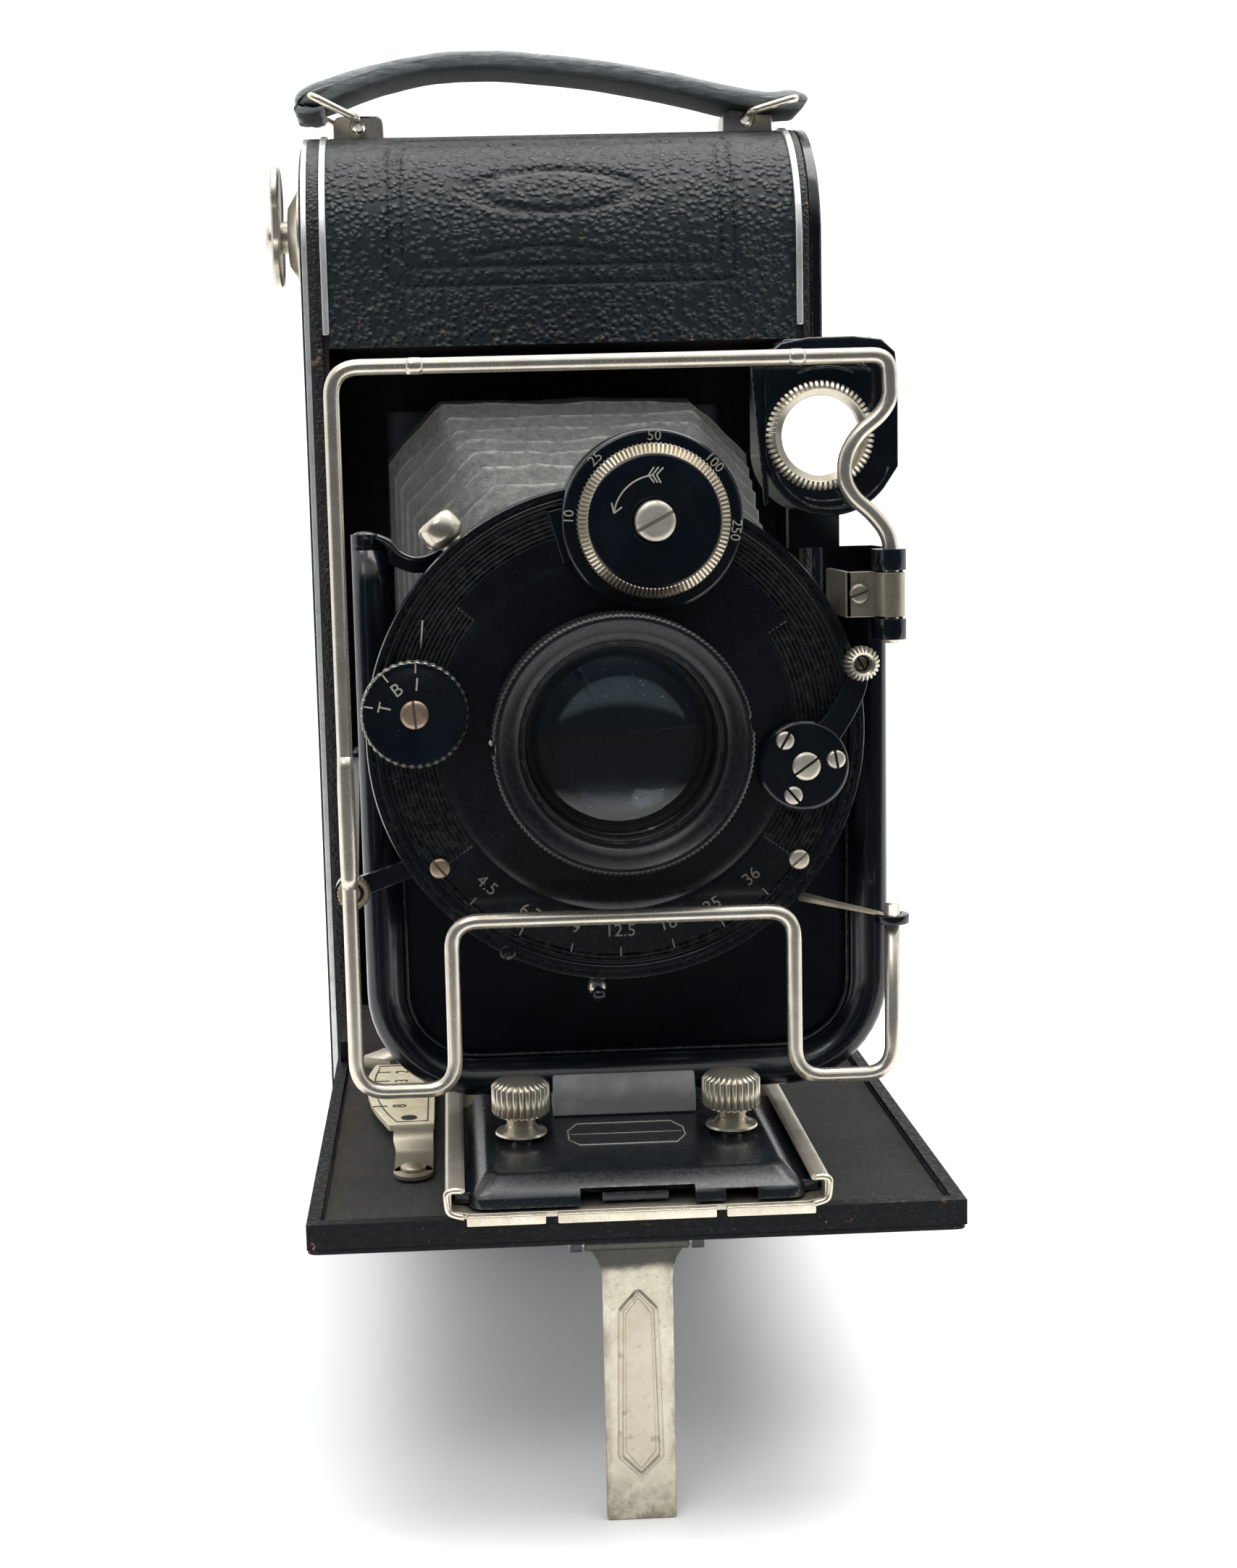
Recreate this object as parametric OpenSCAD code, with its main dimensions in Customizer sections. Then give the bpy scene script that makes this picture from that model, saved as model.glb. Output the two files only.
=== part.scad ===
// Folding roll-film camera, opened for use and standing on its body end and its leg.
// Drawn with X = 0 on the centre plane, Y = 0 on the body's front face and Z = 0 on the
// table, then moved so that the origin is the centre of the leg's foot.
// The front of the camera faces -Y. All sizes are in millimetres.

/* [Body] */
// Height of the body, over the leather
body_h = 170; // [166:1:176]
// Depth of the body, over the leather
body_t = 38; // [38:1:40]
// Width over the two side plates
body_w = 78; // [78:1:82]
// Thickness of the sheet metal shell
wall = 1.2; // [0.9:0.1:1.3]
// Thickness of the leather covering
leather_t = 0.5; // [0.4:0.1:0.6]
// Height of each spool chamber, below and above the front opening
chamber_h = 33.5; // [33:0.5:34]

/* [Bed] */
// Length of the bed, from the body's face to its front edge
bed_l = 101; // [100:1:102]
// Width of the bed
bed_w = 72; // [71.5:0.5:72]
// Height of the supporting leg, from the table to its hinge
leg_h = 32.3; // [32:0.1:32.3]

/* [Shutter and lens] */
// Height of the lens axis above the table
lens_z = 87; // [86:0.5:88]
// Radius of the shutter
shutter_r = 28.4; // [28:0.1:28.5]
// Distance from the body's face to the shutter's face
shutter_y = 84.4; // [84:0.1:85]
// Outer radius of the lens ring
lens_ring_r = 14.4; // [14:0.1:14.6]

/* [Finders] */
// Thickness of the finder's wire
wire_d = 1.75; // [1.5:0.05:1.8]
// Half the width of the wire frame
wire_half_w = 30.6; // [30:0.1:30.8]

/* [Hidden] */
$fn = 64;
gap = 0.05;
seam = 0.02;

// Body
end_r = body_t / 2;
mid_y = body_t / 2;
side_x = body_w / 2;
plate_t = 0.8;
open_half_w = 35.5;
trim_x = 35.3;
trim_w = 1.0;
open_z0 = chamber_h;
open_z1 = body_h - chamber_h;
chamber_x = 37.2;
chamber_wall = 0.8;
chamber_y1 = 29.8;
gate_half_w = 28;
gate_half_h = 43;
spool_z = body_h - 14.8;
spool_bottom_z = 14.8;
spool_r = 12.6;
spool_half_l = 32.7;
carrier_x = 33.4;
roller_y = 33;
roller_r = 2.2;
roller_z = [open_z0, open_z1];
button_at = [7, 141];
window_at = [18, 60];
// Handle
lug_x = 30.5;
lug_hole_z = body_h + 2.2;
loop_wire_r = 0.6;
loop_reach = [7, 4];
strap_y = [12, 26];
// Bed
rim_top = 36.8;
pan_z = 35.6;
lining_z = 36;
bed_under = 33.4;
hinge_at = [0.2, 34.8];
leg_y = bed_l - 3.6;
leg_half_w = 3.9;
leg_t = 1.2;
bush_at = [0, -45];
// Track and focusing
track_z = 36.95;
track_t = 0.65;
track_half_w = 20.9;
track_front = 102.2;
lever_at = [-4, -60];
lever_z = [36.1, 36.8];
scale_r = 28.2;
// Carriage
deck_z = 41;
slide_z = 38;
grip_at = [12.1, -87];
// Standard
board_y = 75.2;
frame_t = 1.4;
frame_x = [-29.6, 31.3];
frame_bottom = 43.2;
dial_at = [4.3, 111.1];
mode_at = [-22.75, 90.2];
boss_at = [21.1, 83];
knob_at = [27.4, 94.6];
housing_back = 76.6;
face_t = 1.0;
iris_y = 79.5;
release_knob = [-30.7, 69.8];
release_pivot = [-17, 74.5];
// Finders
wire_r = wire_d / 2;
wire_y = -88;
axis_x = wire_half_w;
wire_top = 128.5;
wire_low = 47.5;
bend = 2.4;
step_z = 66.8;
step_x = 19.4;
finder_at = [24.6, 118.4];
ring_at = [23.2, 120];

PAINT = [0.03, 0.03, 0.035];
LEATHER = [0.07, 0.07, 0.075];
NICKEL = [0.72, 0.68, 0.6];
ALUMINIUM = [0.78, 0.79, 0.8];
LINING = [0.16, 0.15, 0.13];
IVORY = [0.88, 0.85, 0.72];
GLASS = [0.5, 0.55, 0.6, 0.5];
BELLOWS = [0.18, 0.18, 0.19];
RED = [0.6, 0.05, 0.03];

// Moves the whole camera so that the origin is under the leg
module place() { translate([0, leg_y, 0]) children(); }

// Extrudes a (Y, Z) outline along X from x0
module along_x(x0, len) { translate([x0, 0, 0]) rotate([90, 0, 90]) linear_extrude(len) children(); }

// Extrudes an (X, Z) outline backward along Y from y0
module along_y(y0, len) { translate([0, y0 + len, 0]) rotate([90, 0, 0]) linear_extrude(len) children(); }

// Cylinder along X, Y (towards the back) or Z from a starting point
module rod_x(p, r, len) { translate(p) rotate([0, 90, 0]) cylinder(r = r, h = len); }
module rod_y(p, r, len) { translate(p) rotate([-90, 0, 0]) cylinder(r = r, h = len); }
module rod_z(p, r, len) { translate(p) cylinder(r = r, h = len); }

// A box from its lowest to its highest corner
module box(a, b) { translate(a) cube([b.x - a.x, b.y - a.y, b.z - a.z]); }

// The body's upright outline, moved inward by the inset
module body_outline(inset) {
    r = end_r - inset;
    translate([mid_y, body_h / 2]) {
        square([2 * r, body_h - body_t], center = true);
        for (s = [-1, 1]) translate([0, s * (body_h - body_t) / 2]) circle(r = r);
    }
}

// A skin of the body between two insets, from x0 over a length
module skin(x0, len, outer, inner) {
    along_x(x0, len) difference() { body_outline(outer); body_outline(inner); }
}

module body_shell() { place() color(PAINT)
    difference() {
        skin(-side_x + plate_t, 2 * side_x - 2 * plate_t - 0.6, leather_t, leather_t + wall);
        box([-open_half_w, -1, open_z0], [open_half_w, wall + leather_t + 0.5, open_z1]);
        rod_y([window_at.x, body_t - 5, window_at.y], 5, 10);
    }
}

module body_leather() { place() color(LEATHER) {
    difference() {
        skin(-trim_x, 2 * trim_x, 0, leather_t);
        box([-trim_x - 1, -1, open_z0], [trim_x + 1, leather_t + 0.2, open_z1]);
        rod_y([window_at.x, body_t - 5, window_at.y], 5, 10);
    }
    for (x0 = [-side_x + plate_t, trim_x + trim_w])
        skin(x0, x0 < 0 ? side_x - plate_t - trim_x - trim_w : 1.1, 0, leather_t);
} }

module trim_strips() { place() color(ALUMINIUM)
    for (x0 = [-trim_x - trim_w, trim_x])
        difference() {
            skin(x0, trim_w, -0.35, leather_t);
            box([x0 - 1, -1, open_z0 - 2.5], [x0 + 2, mid_y / 2, open_z1 + 2]);
            box([x0 - 1, -1, -2], [x0 + 2, body_t + 1, 0]);
        }
}

module side_plate_left() { place() color(PAINT)
    difference() {
        along_x(-side_x, plate_t) body_outline(0);
        rod_x([-side_x - 1, mid_y, spool_z], 2.6, 3);
        rod_x([-side_x - 1, button_at[0], button_at[1]], 2.3, 3);
    }
}

module side_leather_left() { place() color(LEATHER)
    difference() {
        along_x(-side_x - 0.4, 0.4) body_outline(1.2);
        rod_x([-side_x - 1, mid_y, spool_z], 7.3, 3);
        rod_x([-side_x - 1, button_at[0], button_at[1]], 2.3, 3);
    }
}

// The box that the bellows fold into: plates soldered at their edges, the film gate in the rear
module inner_chamber() { place() color(PAINT) {
    y0 = wall + leather_t;
    y1 = chamber_y1 - chamber_wall;
    inner_x = chamber_x - chamber_wall;
    z0 = open_z0 - 1;
    z1 = open_z1 + 1;
    gate_z0 = body_h / 2 - gate_half_h;
    gate_z1 = body_h / 2 + gate_half_h;
    for (x0 = [-chamber_x, inner_x]) box([x0, y0, z0], [x0 + chamber_wall, chamber_y1, z1]);
    for (z = [z0, z1 - chamber_wall])
        box([-inner_x + seam, y0, z], [inner_x - seam, y1 - seam, z + chamber_wall]);
    for (z = [[z0, gate_z0], [gate_z1, z1]])
        box([-inner_x + seam, y1, z[0]], [inner_x - seam, chamber_y1, z[1]]);
    for (x = [[-inner_x + seam, -gate_half_w], [gate_half_w, inner_x - seam]])
        box([x[0], y1, gate_z0 + seam], [x[1], chamber_y1, gate_z1 - seam]);
    // Rails that carry on from the track
    rail_y = y0 + 0.5;
    for (s = [-1, 1]) along_y(rail_y, y1 - seam - rail_y)
        polygon([[s * track_half_w, z0 + 0.1], [s * track_half_w, 40.5], [s * 18.8, 40.5],
            [s * 18.8, 39.85], [s * 20.2, 39.85], [s * 20.2, 37.6], [s * 17.8, 37.6],
            [s * 17.8, 36.95], [s * 20.2, 36.95], [s * 20.2, z0 + 0.1]]);
    // Hinge knuckles of the bed
    for (x0 = [-14.8, 5.2]) difference() {
        union() {
            rod_x([x0, hinge_at[0], hinge_at[1]], 1.25, 9.6);
            box([x0, hinge_at[0], open_z0 + 0.05], [x0 + 9.6, y0 + 1.5, hinge_at[1] + 0.4]);
            box([x0, y0 + gap, z0 + 0.1], [x0 + 9.6, y0 + 1.5, hinge_at[1]]);
        }
        rod_x([x0 - 1, hinge_at[0], hinge_at[1]], 0.75 + gap, 12);
    }
} }

// Hollow tapered cover between the film gate and the lens board
module bellows() {
    rear = [31, 44];
    front = [20, 24];
    rear_y = chamber_y1 - chamber_wall - 0.1;
    front_y = -board_y + frame_t;
    front_z = lens_z - 0.5;
    module frustum(t) hull() {
        along_y(rear_y - 0.5 + t, 0.5)
            translate([0, body_h / 2]) square(2 * (rear - [t, t]), center = true);
        along_y(front_y - t, 0.5) translate([0, front_z]) square(2 * (front - [t, t]), center = true);
    }
    place() color(BELLOWS) difference() {
        frustum(0);
        frustum(1.5);
    }
}

module handle_lugs() { place() color(NICKEL)
    for (s = [-1, 1]) difference() {
        union() {
            along_y(mid_y - 2.4, 4.8)
                translate([s * lug_x, lug_hole_z - 0.3]) square([7.6, 4.2], center = true);
            box([s * lug_x - 4.7, mid_y - 3.4, body_h - 1], [s * lug_x + 4.7, mid_y + 3.4, body_h + 0.5]);
        }
        along_x(-side_x, body_w) body_outline(0);
        rod_y([s * lug_x, mid_y - 5, lug_hole_z], loop_wire_r + 0.35, 10);
    }
}

module window_glass() { place() color(RED) rod_y([window_at.x, body_t - 1.2, window_at.y], 4.95, 0.7); }

// The bed's hinge pin and the leg's hinge pin
module hinge_pins() { place() color(NICKEL) {
    rod_x([-25, hinge_at[0], hinge_at[1]], 0.75, 50);
    rod_x([-7.5, -leg_y, leg_h], 0.6, 15);
} }

module key_collar() { place() color(NICKEL)
    difference() {
        translate([-side_x, mid_y, spool_z]) rotate([0, -90, 0]) union() {
            cylinder(r = 7.2, h = 1.4);
            translate([0, 0, 1.4]) cylinder(r1 = 7.2, r2 = 4.6, h = 1.6);
        }
        rod_x([-side_x - 4, mid_y, spool_z], 2.6, 6);
    }
}

module bed_plate() { place() color(PAINT) {
    half = bed_w / 2;
    rim = 1.5;
    difference() {
        box([-half, -bed_l, bed_under + 0.6], [half, -0.9, rim_top]);
        box([-half + rim, -bed_l + rim, pan_z], [half - rim, 0, rim_top + 1]);
        rod_z([bush_at.x, bush_at.y, bed_under], 5.65, pan_z - bed_under - 0.2);
        for (x0 = [-14.95, 5.05]) box([x0, -1.7, bed_under], [x0 + 9.9, 0, rim_top + 1]);
        for (s = [-1, 1]) rod_z([s * 6.75, -leg_y, bed_under], 0.6, 1.2);
    }
    // Ribs under the track, ears for the struts and the focus lever's stud
    for (s = [-1, 1]) {
        for (y0 = [-98, -28]) box([s * 14.6 - 0.6, y0, pan_z], [s * 14.6 + 0.6, y0 + 18, track_z - gap]);
        box([s * 35 - 0.5, -37, rim_top], [s * 35 + 0.5, -31, 39.6]);
    }
    rod_z([lever_at.x, lever_at.y, pan_z], 0.95, track_z - gap - pan_z);
    // Hinge knuckles
    for (x0 = [-24.8, -5, 15.2]) difference() {
        union() {
            rod_x([x0, hinge_at[0], hinge_at[1]], 1.2, 9.6);
            box([x0, -1.5, hinge_at[1] - 0.8], [x0 + 9.6, hinge_at[0], hinge_at[1] + 0.8]);
        }
        rod_x([x0 - 1, hinge_at[0], hinge_at[1]], 0.75 + gap, 12);
    }
} }

module bed_lining() { place() color(LINING)
    difference() {
        box([-bed_w / 2 + 1.6, -bed_l + 1.6, pan_z], [bed_w / 2 - 1.6, -2.5, lining_z]);
        for (s = [-1, 1], y0 = [-98.1, -28.1])
            box([s * 14.6 - 0.7, y0, pan_z - 1], [s * 14.6 + 0.7, y0 + 18.2, lining_z + 1]);
        rod_z([lever_at.x, lever_at.y, pan_z - 1], 1.0, 3);
    }
}

module bed_leather() { place() color(LEATHER)
    difference() {
        along_x(-bed_w / 2, bed_w) polygon([[-bed_l, bed_under + 0.6], [-bed_l + 0.6, bed_under],
            [-0.9, bed_under], [-0.9, bed_under + 0.6]]);
        rod_z([bush_at.x, bush_at.y, bed_under - 1], 5.65, 3);
        for (s = [-1, 1]) rod_z([s * 6.75, -leg_y, bed_under - 1], 0.65, 3);
    }
}

module tripod_bush() { place() color(NICKEL)
    difference() {
        union() {
            rod_z([bush_at.x, bush_at.y, bed_under - 2], 7, 2);
            rod_z([bush_at.x, bush_at.y, bed_under], 5.6, 2);
        }
        rod_z([bush_at.x, bush_at.y, bed_under - 3], 4.0, 6);
    }
}

module leg_bracket() { place() color(NICKEL)
    for (s = [-1, 1]) difference() {
        union() {
            rod_x([s * 6.75 - 0.65, -leg_y, leg_h], 1.05, 1.3);
            box([s * 6.75 - 0.65, -leg_y - 1.05, leg_h], [s * 6.75 + 0.65, -leg_y + 1.05, bed_under]);
            rod_z([s * 6.75, -leg_y, bed_under - 0.2], 0.55, 1.3);
        }
        rod_x([s * 6.75 - 2, -leg_y, leg_h], 0.6 + gap, 4);
    }
}

module focus_scale() { place() color(IVORY)
    translate([0, 0, 38.2]) linear_extrude(0.4) intersection() {
        translate(lever_at) circle(r = scale_r);
        translate([-40, -75]) square([17.8, 25]);
    }
}

module scale_bracket() { place() color(NICKEL) {
    translate([0, 0, 37.3]) linear_extrude(0.9) intersection() {
        translate(lever_at) circle(r = scale_r - 1.4);
        translate([-40, -77]) square([17.8, 24]);
    }
    box([-27.4, -83.5, 37.3], [-22.6, -76.9, 38.2]);
    box([-27.4, -84.3, lining_z], [-22.6, -83.5, 38.2]);
    box([-26.4, -92, lining_z], [-22.2, -84.3, lining_z + 0.7]);
    rod_z([-24.3, -89.8, lining_z + 0.7], 1.5, 0.9);
} }

module bed_struts() { place() color(PAINT)
    for (s = [-1, 1]) {
        low = [-34, 38.3];
        high = [4.5, 74];
        run = high - low;
        x0 = s > 0 ? 33.2 : -34.2;
        translate([x0, low[0], low[1]]) rotate([atan2(run[1], run[0]), 0, 0])
            box([0, 0, -1.7], [1, norm(run), 1.7]);
        for (p = [low, high]) rod_x([x0, p[0], p[1]], 2.3, 1);
        rod_x([s > 0 ? 34.2 : -34.5, low[0], low[1]], 0.9, 0.3);
        rod_x([s > 0 ? 34.2 : -36.4, high[0], high[1]], 0.9, 2.2);
    }
}

module window_cover() { place() color(NICKEL) {
    union() {
        rod_y([window_at.x, body_t + 0.1, window_at.y], 6.2, 0.6);
        rod_y([window_at.x, body_t + 0.1, window_at.y + 8.2], 2.2, 0.6);
        box([window_at.x - 1.8, body_t + 0.1, window_at.y + 4],
            [window_at.x + 1.8, body_t + 0.7, window_at.y + 8]);
        rod_y([window_at.x, body_t + 0.7, window_at.y + 8.2], 1.3, 0.5);
    }
} }

module bed_button() { place() color(NICKEL)
    rod_x([-side_x - 0.6, button_at[0], button_at[1]], 2.15, 3);
}

// Grip plate, screw boss, shaft and the blade that turns the spool
module winding_key() { place() color(NICKEL) {
    plate_x = -44.6;
    union() {
        translate([plate_x, mid_y, spool_z + 1.6]) rotate([90, 0, 90]) linear_extrude(1.5) union() {
            square([10, 8.7], center = true);
            for (s = [-1, 1]) translate([0, s * 4.35]) circle(r = 5);
        }
        rod_x([plate_x - 1.1, mid_y, spool_z], 2.2, 1.2);
        rod_x([plate_x + 1, mid_y, spool_z], 2.5, 9.8);
        translate([-34.9, mid_y, spool_z]) rotate([90, 0, 90])
            linear_extrude(3.9) square([1.1, 4.6], center = true);
    }
} }

// Outline of the C-shaped end plates, which pass behind the bellows chamber
module carrier_outline() {
    difference() {
        body_outline(leather_t + wall + 0.6);
        translate([-5, open_z0 - 1.3]) square([chamber_y1 + 0.35 + 5, open_z1 - open_z0 + 2.6]);
    }
}

module film_carrier() { place() color(ALUMINIUM) {
    difference() {
        union() {
            for (x0 = [-carrier_x - 0.8, carrier_x]) along_x(x0, 0.8) carrier_outline();
            box([-carrier_x, 35.4, body_h / 2 - gate_half_h - 6],
                [carrier_x, 36.0, body_h / 2 + gate_half_h + 6]);
            for (p = [[4.8, open_z0 - 4], [4.8, open_z1 + 4]])
                rod_x([-carrier_x, p[0], p[1]], 1.2, carrier_x + side_x - 1.4);
            for (z = roller_z) rod_x([-carrier_x, roller_y, z], 0.8, 2 * carrier_x);
            rod_x([spool_half_l - 1.4, mid_y, spool_z], 1.8, carrier_x - spool_half_l + 1.6);
            for (x0 = [-carrier_x, spool_half_l - 1.4]) rod_x([x0, mid_y, spool_bottom_z], 1.8, 2.1);
            rod_x([carrier_x, mid_y, spool_bottom_z], 4, side_x - 1.4 - carrier_x);
            rod_x([carrier_x, mid_y, spool_z], 4, side_x - 1.4 - carrier_x);
        }
        rod_x([-carrier_x - 2, mid_y, spool_z], 3.0, 3);
    }
} }

module side_plate_right() { place() color(PAINT) along_x(side_x - 1.4, 1.4) body_outline(0); }

module side_leather_right() { place() color(LEATHER) along_x(side_x, 0.4) body_outline(1.2); }

module roller(z) difference() {
    rod_x([-32.8, roller_y, z], roller_r, 65.6);
    rod_x([-34, roller_y, z], 0.8 + gap, 68);
}
module roller_top() { place() color(NICKEL) roller(roller_z[1]); }
module roller_bottom() { place() color(NICKEL) roller(roller_z[0]); }

module take_up_spool() { place() color(PAINT)
    difference() {
        union() {
            rod_x([-spool_half_l, mid_y, spool_z], 6, 2 * spool_half_l);
            for (x0 = [-spool_half_l, spool_half_l - 0.9]) rod_x([x0, mid_y, spool_z], spool_r, 0.9);
        }
        rod_x([-spool_half_l - 1, mid_y, spool_z], 2.6, 4.5);
        rod_x([spool_half_l - 3, mid_y, spool_z], 1.85, 4);
        box([-spool_half_l - 1, mid_y - 0.7, spool_z - 4.6],
            [-spool_half_l + 2.2, mid_y + 0.7, spool_z + 4.6]);
    }
}

// Arched strap with a slot in each end for the loop's bar
module handle_strap() {
    bar_x = lug_x + loop_reach[0];
    bar_z = lug_hole_z + loop_reach[1];
    top = [[-bar_x - 1.9, bar_z - 1.2], [-bar_x - 1.6, bar_z + 1.2], [-bar_x + 3, bar_z + 2.4],
           [-29.8, 181],
        [-18, 183.5], [-9, 184], [3.4, 182.6], [15, 180.6], [26.6, 178.4], [bar_x - 2, bar_z + 1.6],
        [bar_x + 1.6, bar_z + 1.2], [bar_x + 1.9, bar_z - 1.2]];
    under = [[bar_x, bar_z - 1.7], [bar_x - 5, bar_z - 1.5], [26, 174.9], [15, 177], [3.4, 179],
             [-9, 180.4],
        [-18, 180], [-28.5, 177.6], [-bar_x + 5, bar_z - 1.4], [-bar_x, bar_z - 1.7]];
    place() color(LEATHER) difference() {
        along_y(strap_y[0], strap_y[1] - strap_y[0]) polygon(concat(top, under));
        for (s = [-1, 1]) along_y(strap_y[0] - 1, strap_y[1] - strap_y[0] + 2)
            translate([s * (bar_x - 0.95), bar_z]) square([3.5, 1.7], center = true);
    }
}

// Rectangle of wire: a bar in the lug, two legs and a bar in the strap
module loop(s) {
    low = [s * lug_x, 0, lug_hole_z];
    high = [s * (lug_x + loop_reach[0]), 0, lug_hole_z + loop_reach[1]];
    half = (strap_y[1] - strap_y[0]) / 2 + 1.1;
    module bar(a, b, r) {
        d = b - a;
        translate(a) rotate([0, acos(d.z / norm(d)), atan2(d.y, d.x)]) cylinder(r = r, h = norm(d));
    }
    union() {
        bar(low + [0, mid_y - half, 0], low + [0, mid_y + half, 0], loop_wire_r);
        bar(high + [0, mid_y - half, 0], high + [0, mid_y + half, 0], loop_wire_r);
        for (t = [-1, 1]) {
            bar(low + [0, mid_y + t * half, 0], high + [0, mid_y + t * half, 0], loop_wire_r * 0.98);
            translate(low + [0, mid_y + t * half, 0]) sphere(r = loop_wire_r * 1.05);
            translate(high + [0, mid_y + t * half, 0]) sphere(r = loop_wire_r * 1.05);
        }
    }
}
module handle_loop_left() { place() color(NICKEL) loop(-1); }
module handle_loop_right() { place() color(NICKEL) loop(1); }

module leg() { place() color(NICKEL)
    difference() {
        union() {
            along_y(-leg_y - leg_t / 2, leg_t) polygon([[-leg_half_w, 0], [-leg_half_w, leg_h - 4],
                [-leg_half_w - 0.5, leg_h - 1.8], [-5.8, leg_h - 0.6], [-5.8, leg_h], [5.8, leg_h],
                [5.8, leg_h - 0.6], [leg_half_w + 0.5, leg_h - 1.8], [leg_half_w, leg_h - 4],
                [leg_half_w, 0]]);
            rod_x([-5.8, -leg_y, leg_h], 1.0, 11.6);
        }
        rod_x([-7, -leg_y, leg_h], 0.6 + gap, 14);
    }
}

module focus_lever() { place() color(NICKEL) translate([lever_at.x, lever_at.y, 0]) {
    rest = 143;
    difference() {
        union() {
            rod_z([0, 0, lever_z[0]], 3.2, lever_z[1] - lever_z[0]);
            rotate(rest) box([0, -1.6, lever_z[0]], [29.8, 1.6, lever_z[1]]);
            rotate(rest) box([28.8, -1.6, lever_z[0]], [29.8, 1.6, 38.6]);
            rotate(rest) box([28.8, -2.4, 37.3], [33.4, 2.4, 38.8]);
            rotate(150) box([0, -1.6, lever_z[0]], [7.5, 1.6, lever_z[1]]);
            rotate(150) rod_z([6, 0, lever_z[0]], 0.8, 1.4);
        }
        rod_z([0, 0, 30], 1.0, 10);
    }
} }

// Channel of sheet metal that slides on the bed and carries the carriage
module track() { place() color(NICKEL)
    difference() {
        union() {
            along_y(-track_front + 0.7, track_front - 8.7) polygon(concat(
                [for (p = track_half()) p], [for (i = [len(track_half()) - 1 : -1 : 0])
                    [-track_half()[i][0], track_half()[i][1]]]));
            box([-18.6, -track_front, track_z - 0.9], [18.6, -track_front + 0.7, track_z + track_t]);
        }
        for (s = [-1, 1])
            box([s * 9.5 - 0.65, -track_front - 1, track_z - 2], [s * 9.5 + 0.65, -track_front + 3, 40]);
        box([-11.4, lever_at.y + 3 - 0.95, track_z - 1], [-7.7, lever_at.y + 3 + 0.95, track_z + 2]);
        for (y0 = [-44, -30]) box([-8, y0, track_z - 1], [8, y0 + 8, track_z + 2]);
    }
}
// Right half of the track's cross-section, from the bottom centre round to the top centre
function track_half() = [[0, track_z], [18.6, track_z], [track_half_w, track_z + 0.6],
                         [track_half_w, 40.5],
    [18.8, 40.5], [18.8, 39.85], [20.2, 39.85], [20.2, track_z + 0.95], [18.4, track_z + track_t],
    [0, track_z + track_t]];

module carriage() { place() color(PAINT)
    difference() {
        union() {
            along_x(-17.6, 35.2) polygon([[-101.6, slide_z], [-101.6, 38.7], [-99.2, deck_z],
                                          [-68, deck_z],
                [-68, slide_z]]);
            box([-19.9, -99.5, slide_z], [19.9, -68, 39.6]);
        }
        for (s = [-1, 1]) box([s * (grip_at.x - 0.6) - 1.95, grip_at.y - 1.4, 39.5],
            [s * (grip_at.x - 0.6) + 1.95, grip_at.y + 1.4, deck_z + 1]);
        box([-3, -103, 37], [3, -100, 38.5]);
        box([8.5, -103, 37], [12.5, -99.8, 39]);
    }
}

// Knurled, domed grip on a neck, its stem in a slot of the carriage
module grip(s) {
    union() {
        rod_z([s * grip_at.x, grip_at.y, 39.7], 1.2, 2);
        rod_z([s * grip_at.x, grip_at.y, deck_z + gap], 3.0, 0.6);
        rod_z([s * grip_at.x, grip_at.y, deck_z + 0.5], 1.7, 2);
        intersection() {
            rod_z([s * grip_at.x, grip_at.y, 43.3], 3.3, 5);
            translate([s * grip_at.x, grip_at.y, 47.8 - 9]) sphere(r = 9);
        }
        rod_z([s * grip_at.x, grip_at.y, 43.0], 2.6, 0.4);
    }
}
module grip_left() { place() color(NICKEL) grip(-1); }
module grip_right() { place() color(NICKEL) grip(1); }

// Outline of the standard: a U with rounded lower corners
module standard_outline(inset) {
    corner = 13 - inset;
    x0 = frame_x[0] + inset;
    x1 = frame_x[1] - inset;
    z0 = frame_bottom + inset;
    translate([x0, z0 + corner]) square([x1 - x0, 108 - z0 - corner]);
    translate([x0 + corner, z0]) square([x1 - x0 - 2 * corner, corner + 1]);
    for (x = [x0 + corner, x1 - corner]) translate([x, z0 + corner]) circle(r = corner);
}

module standard_frame() { place() color(PAINT)
    difference() {
        union() {
            along_y(-board_y, frame_t) standard_outline(0);
            along_y(-board_y - 3.2, 3.3) difference() {
                standard_outline(0);
                standard_outline(1.1);
                translate([-26, 80]) square([54, 40]);
            }
            along_y(-board_y - 3.2, 3.3 + frame_t) translate([frame_x[0], 107]) square([3.4, 3.7]);
            box([-10.2, -board_y - 3.3, deck_z + gap], [10.2, -board_y + frame_t, frame_bottom + 1.2]);
            // Arm and eye for the wire frame's lower end
            box([28.4, wire_y, 65.2], [frame_x[1], -board_y - 2, 66.2]);
            rod_z([axis_x, wire_y, 65.2], 1.9, 1.0);
        }
        rod_y([0, -board_y - 5, lens_z], 19, 10);
        rod_z([axis_x, wire_y, 60], wire_r + 0.07, 10);
        box([-20.5, -board_y - 4, 106.8], [20.5, -board_y + 4, 112]);
    }
}

module lens_board() { place() color(PAINT)
    difference() {
        rod_y([0, -board_y - 1.4, lens_z], 26.5, 1.4);
        rod_y([0, -board_y - 5, lens_z], 15, 10);
    }
}

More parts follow.
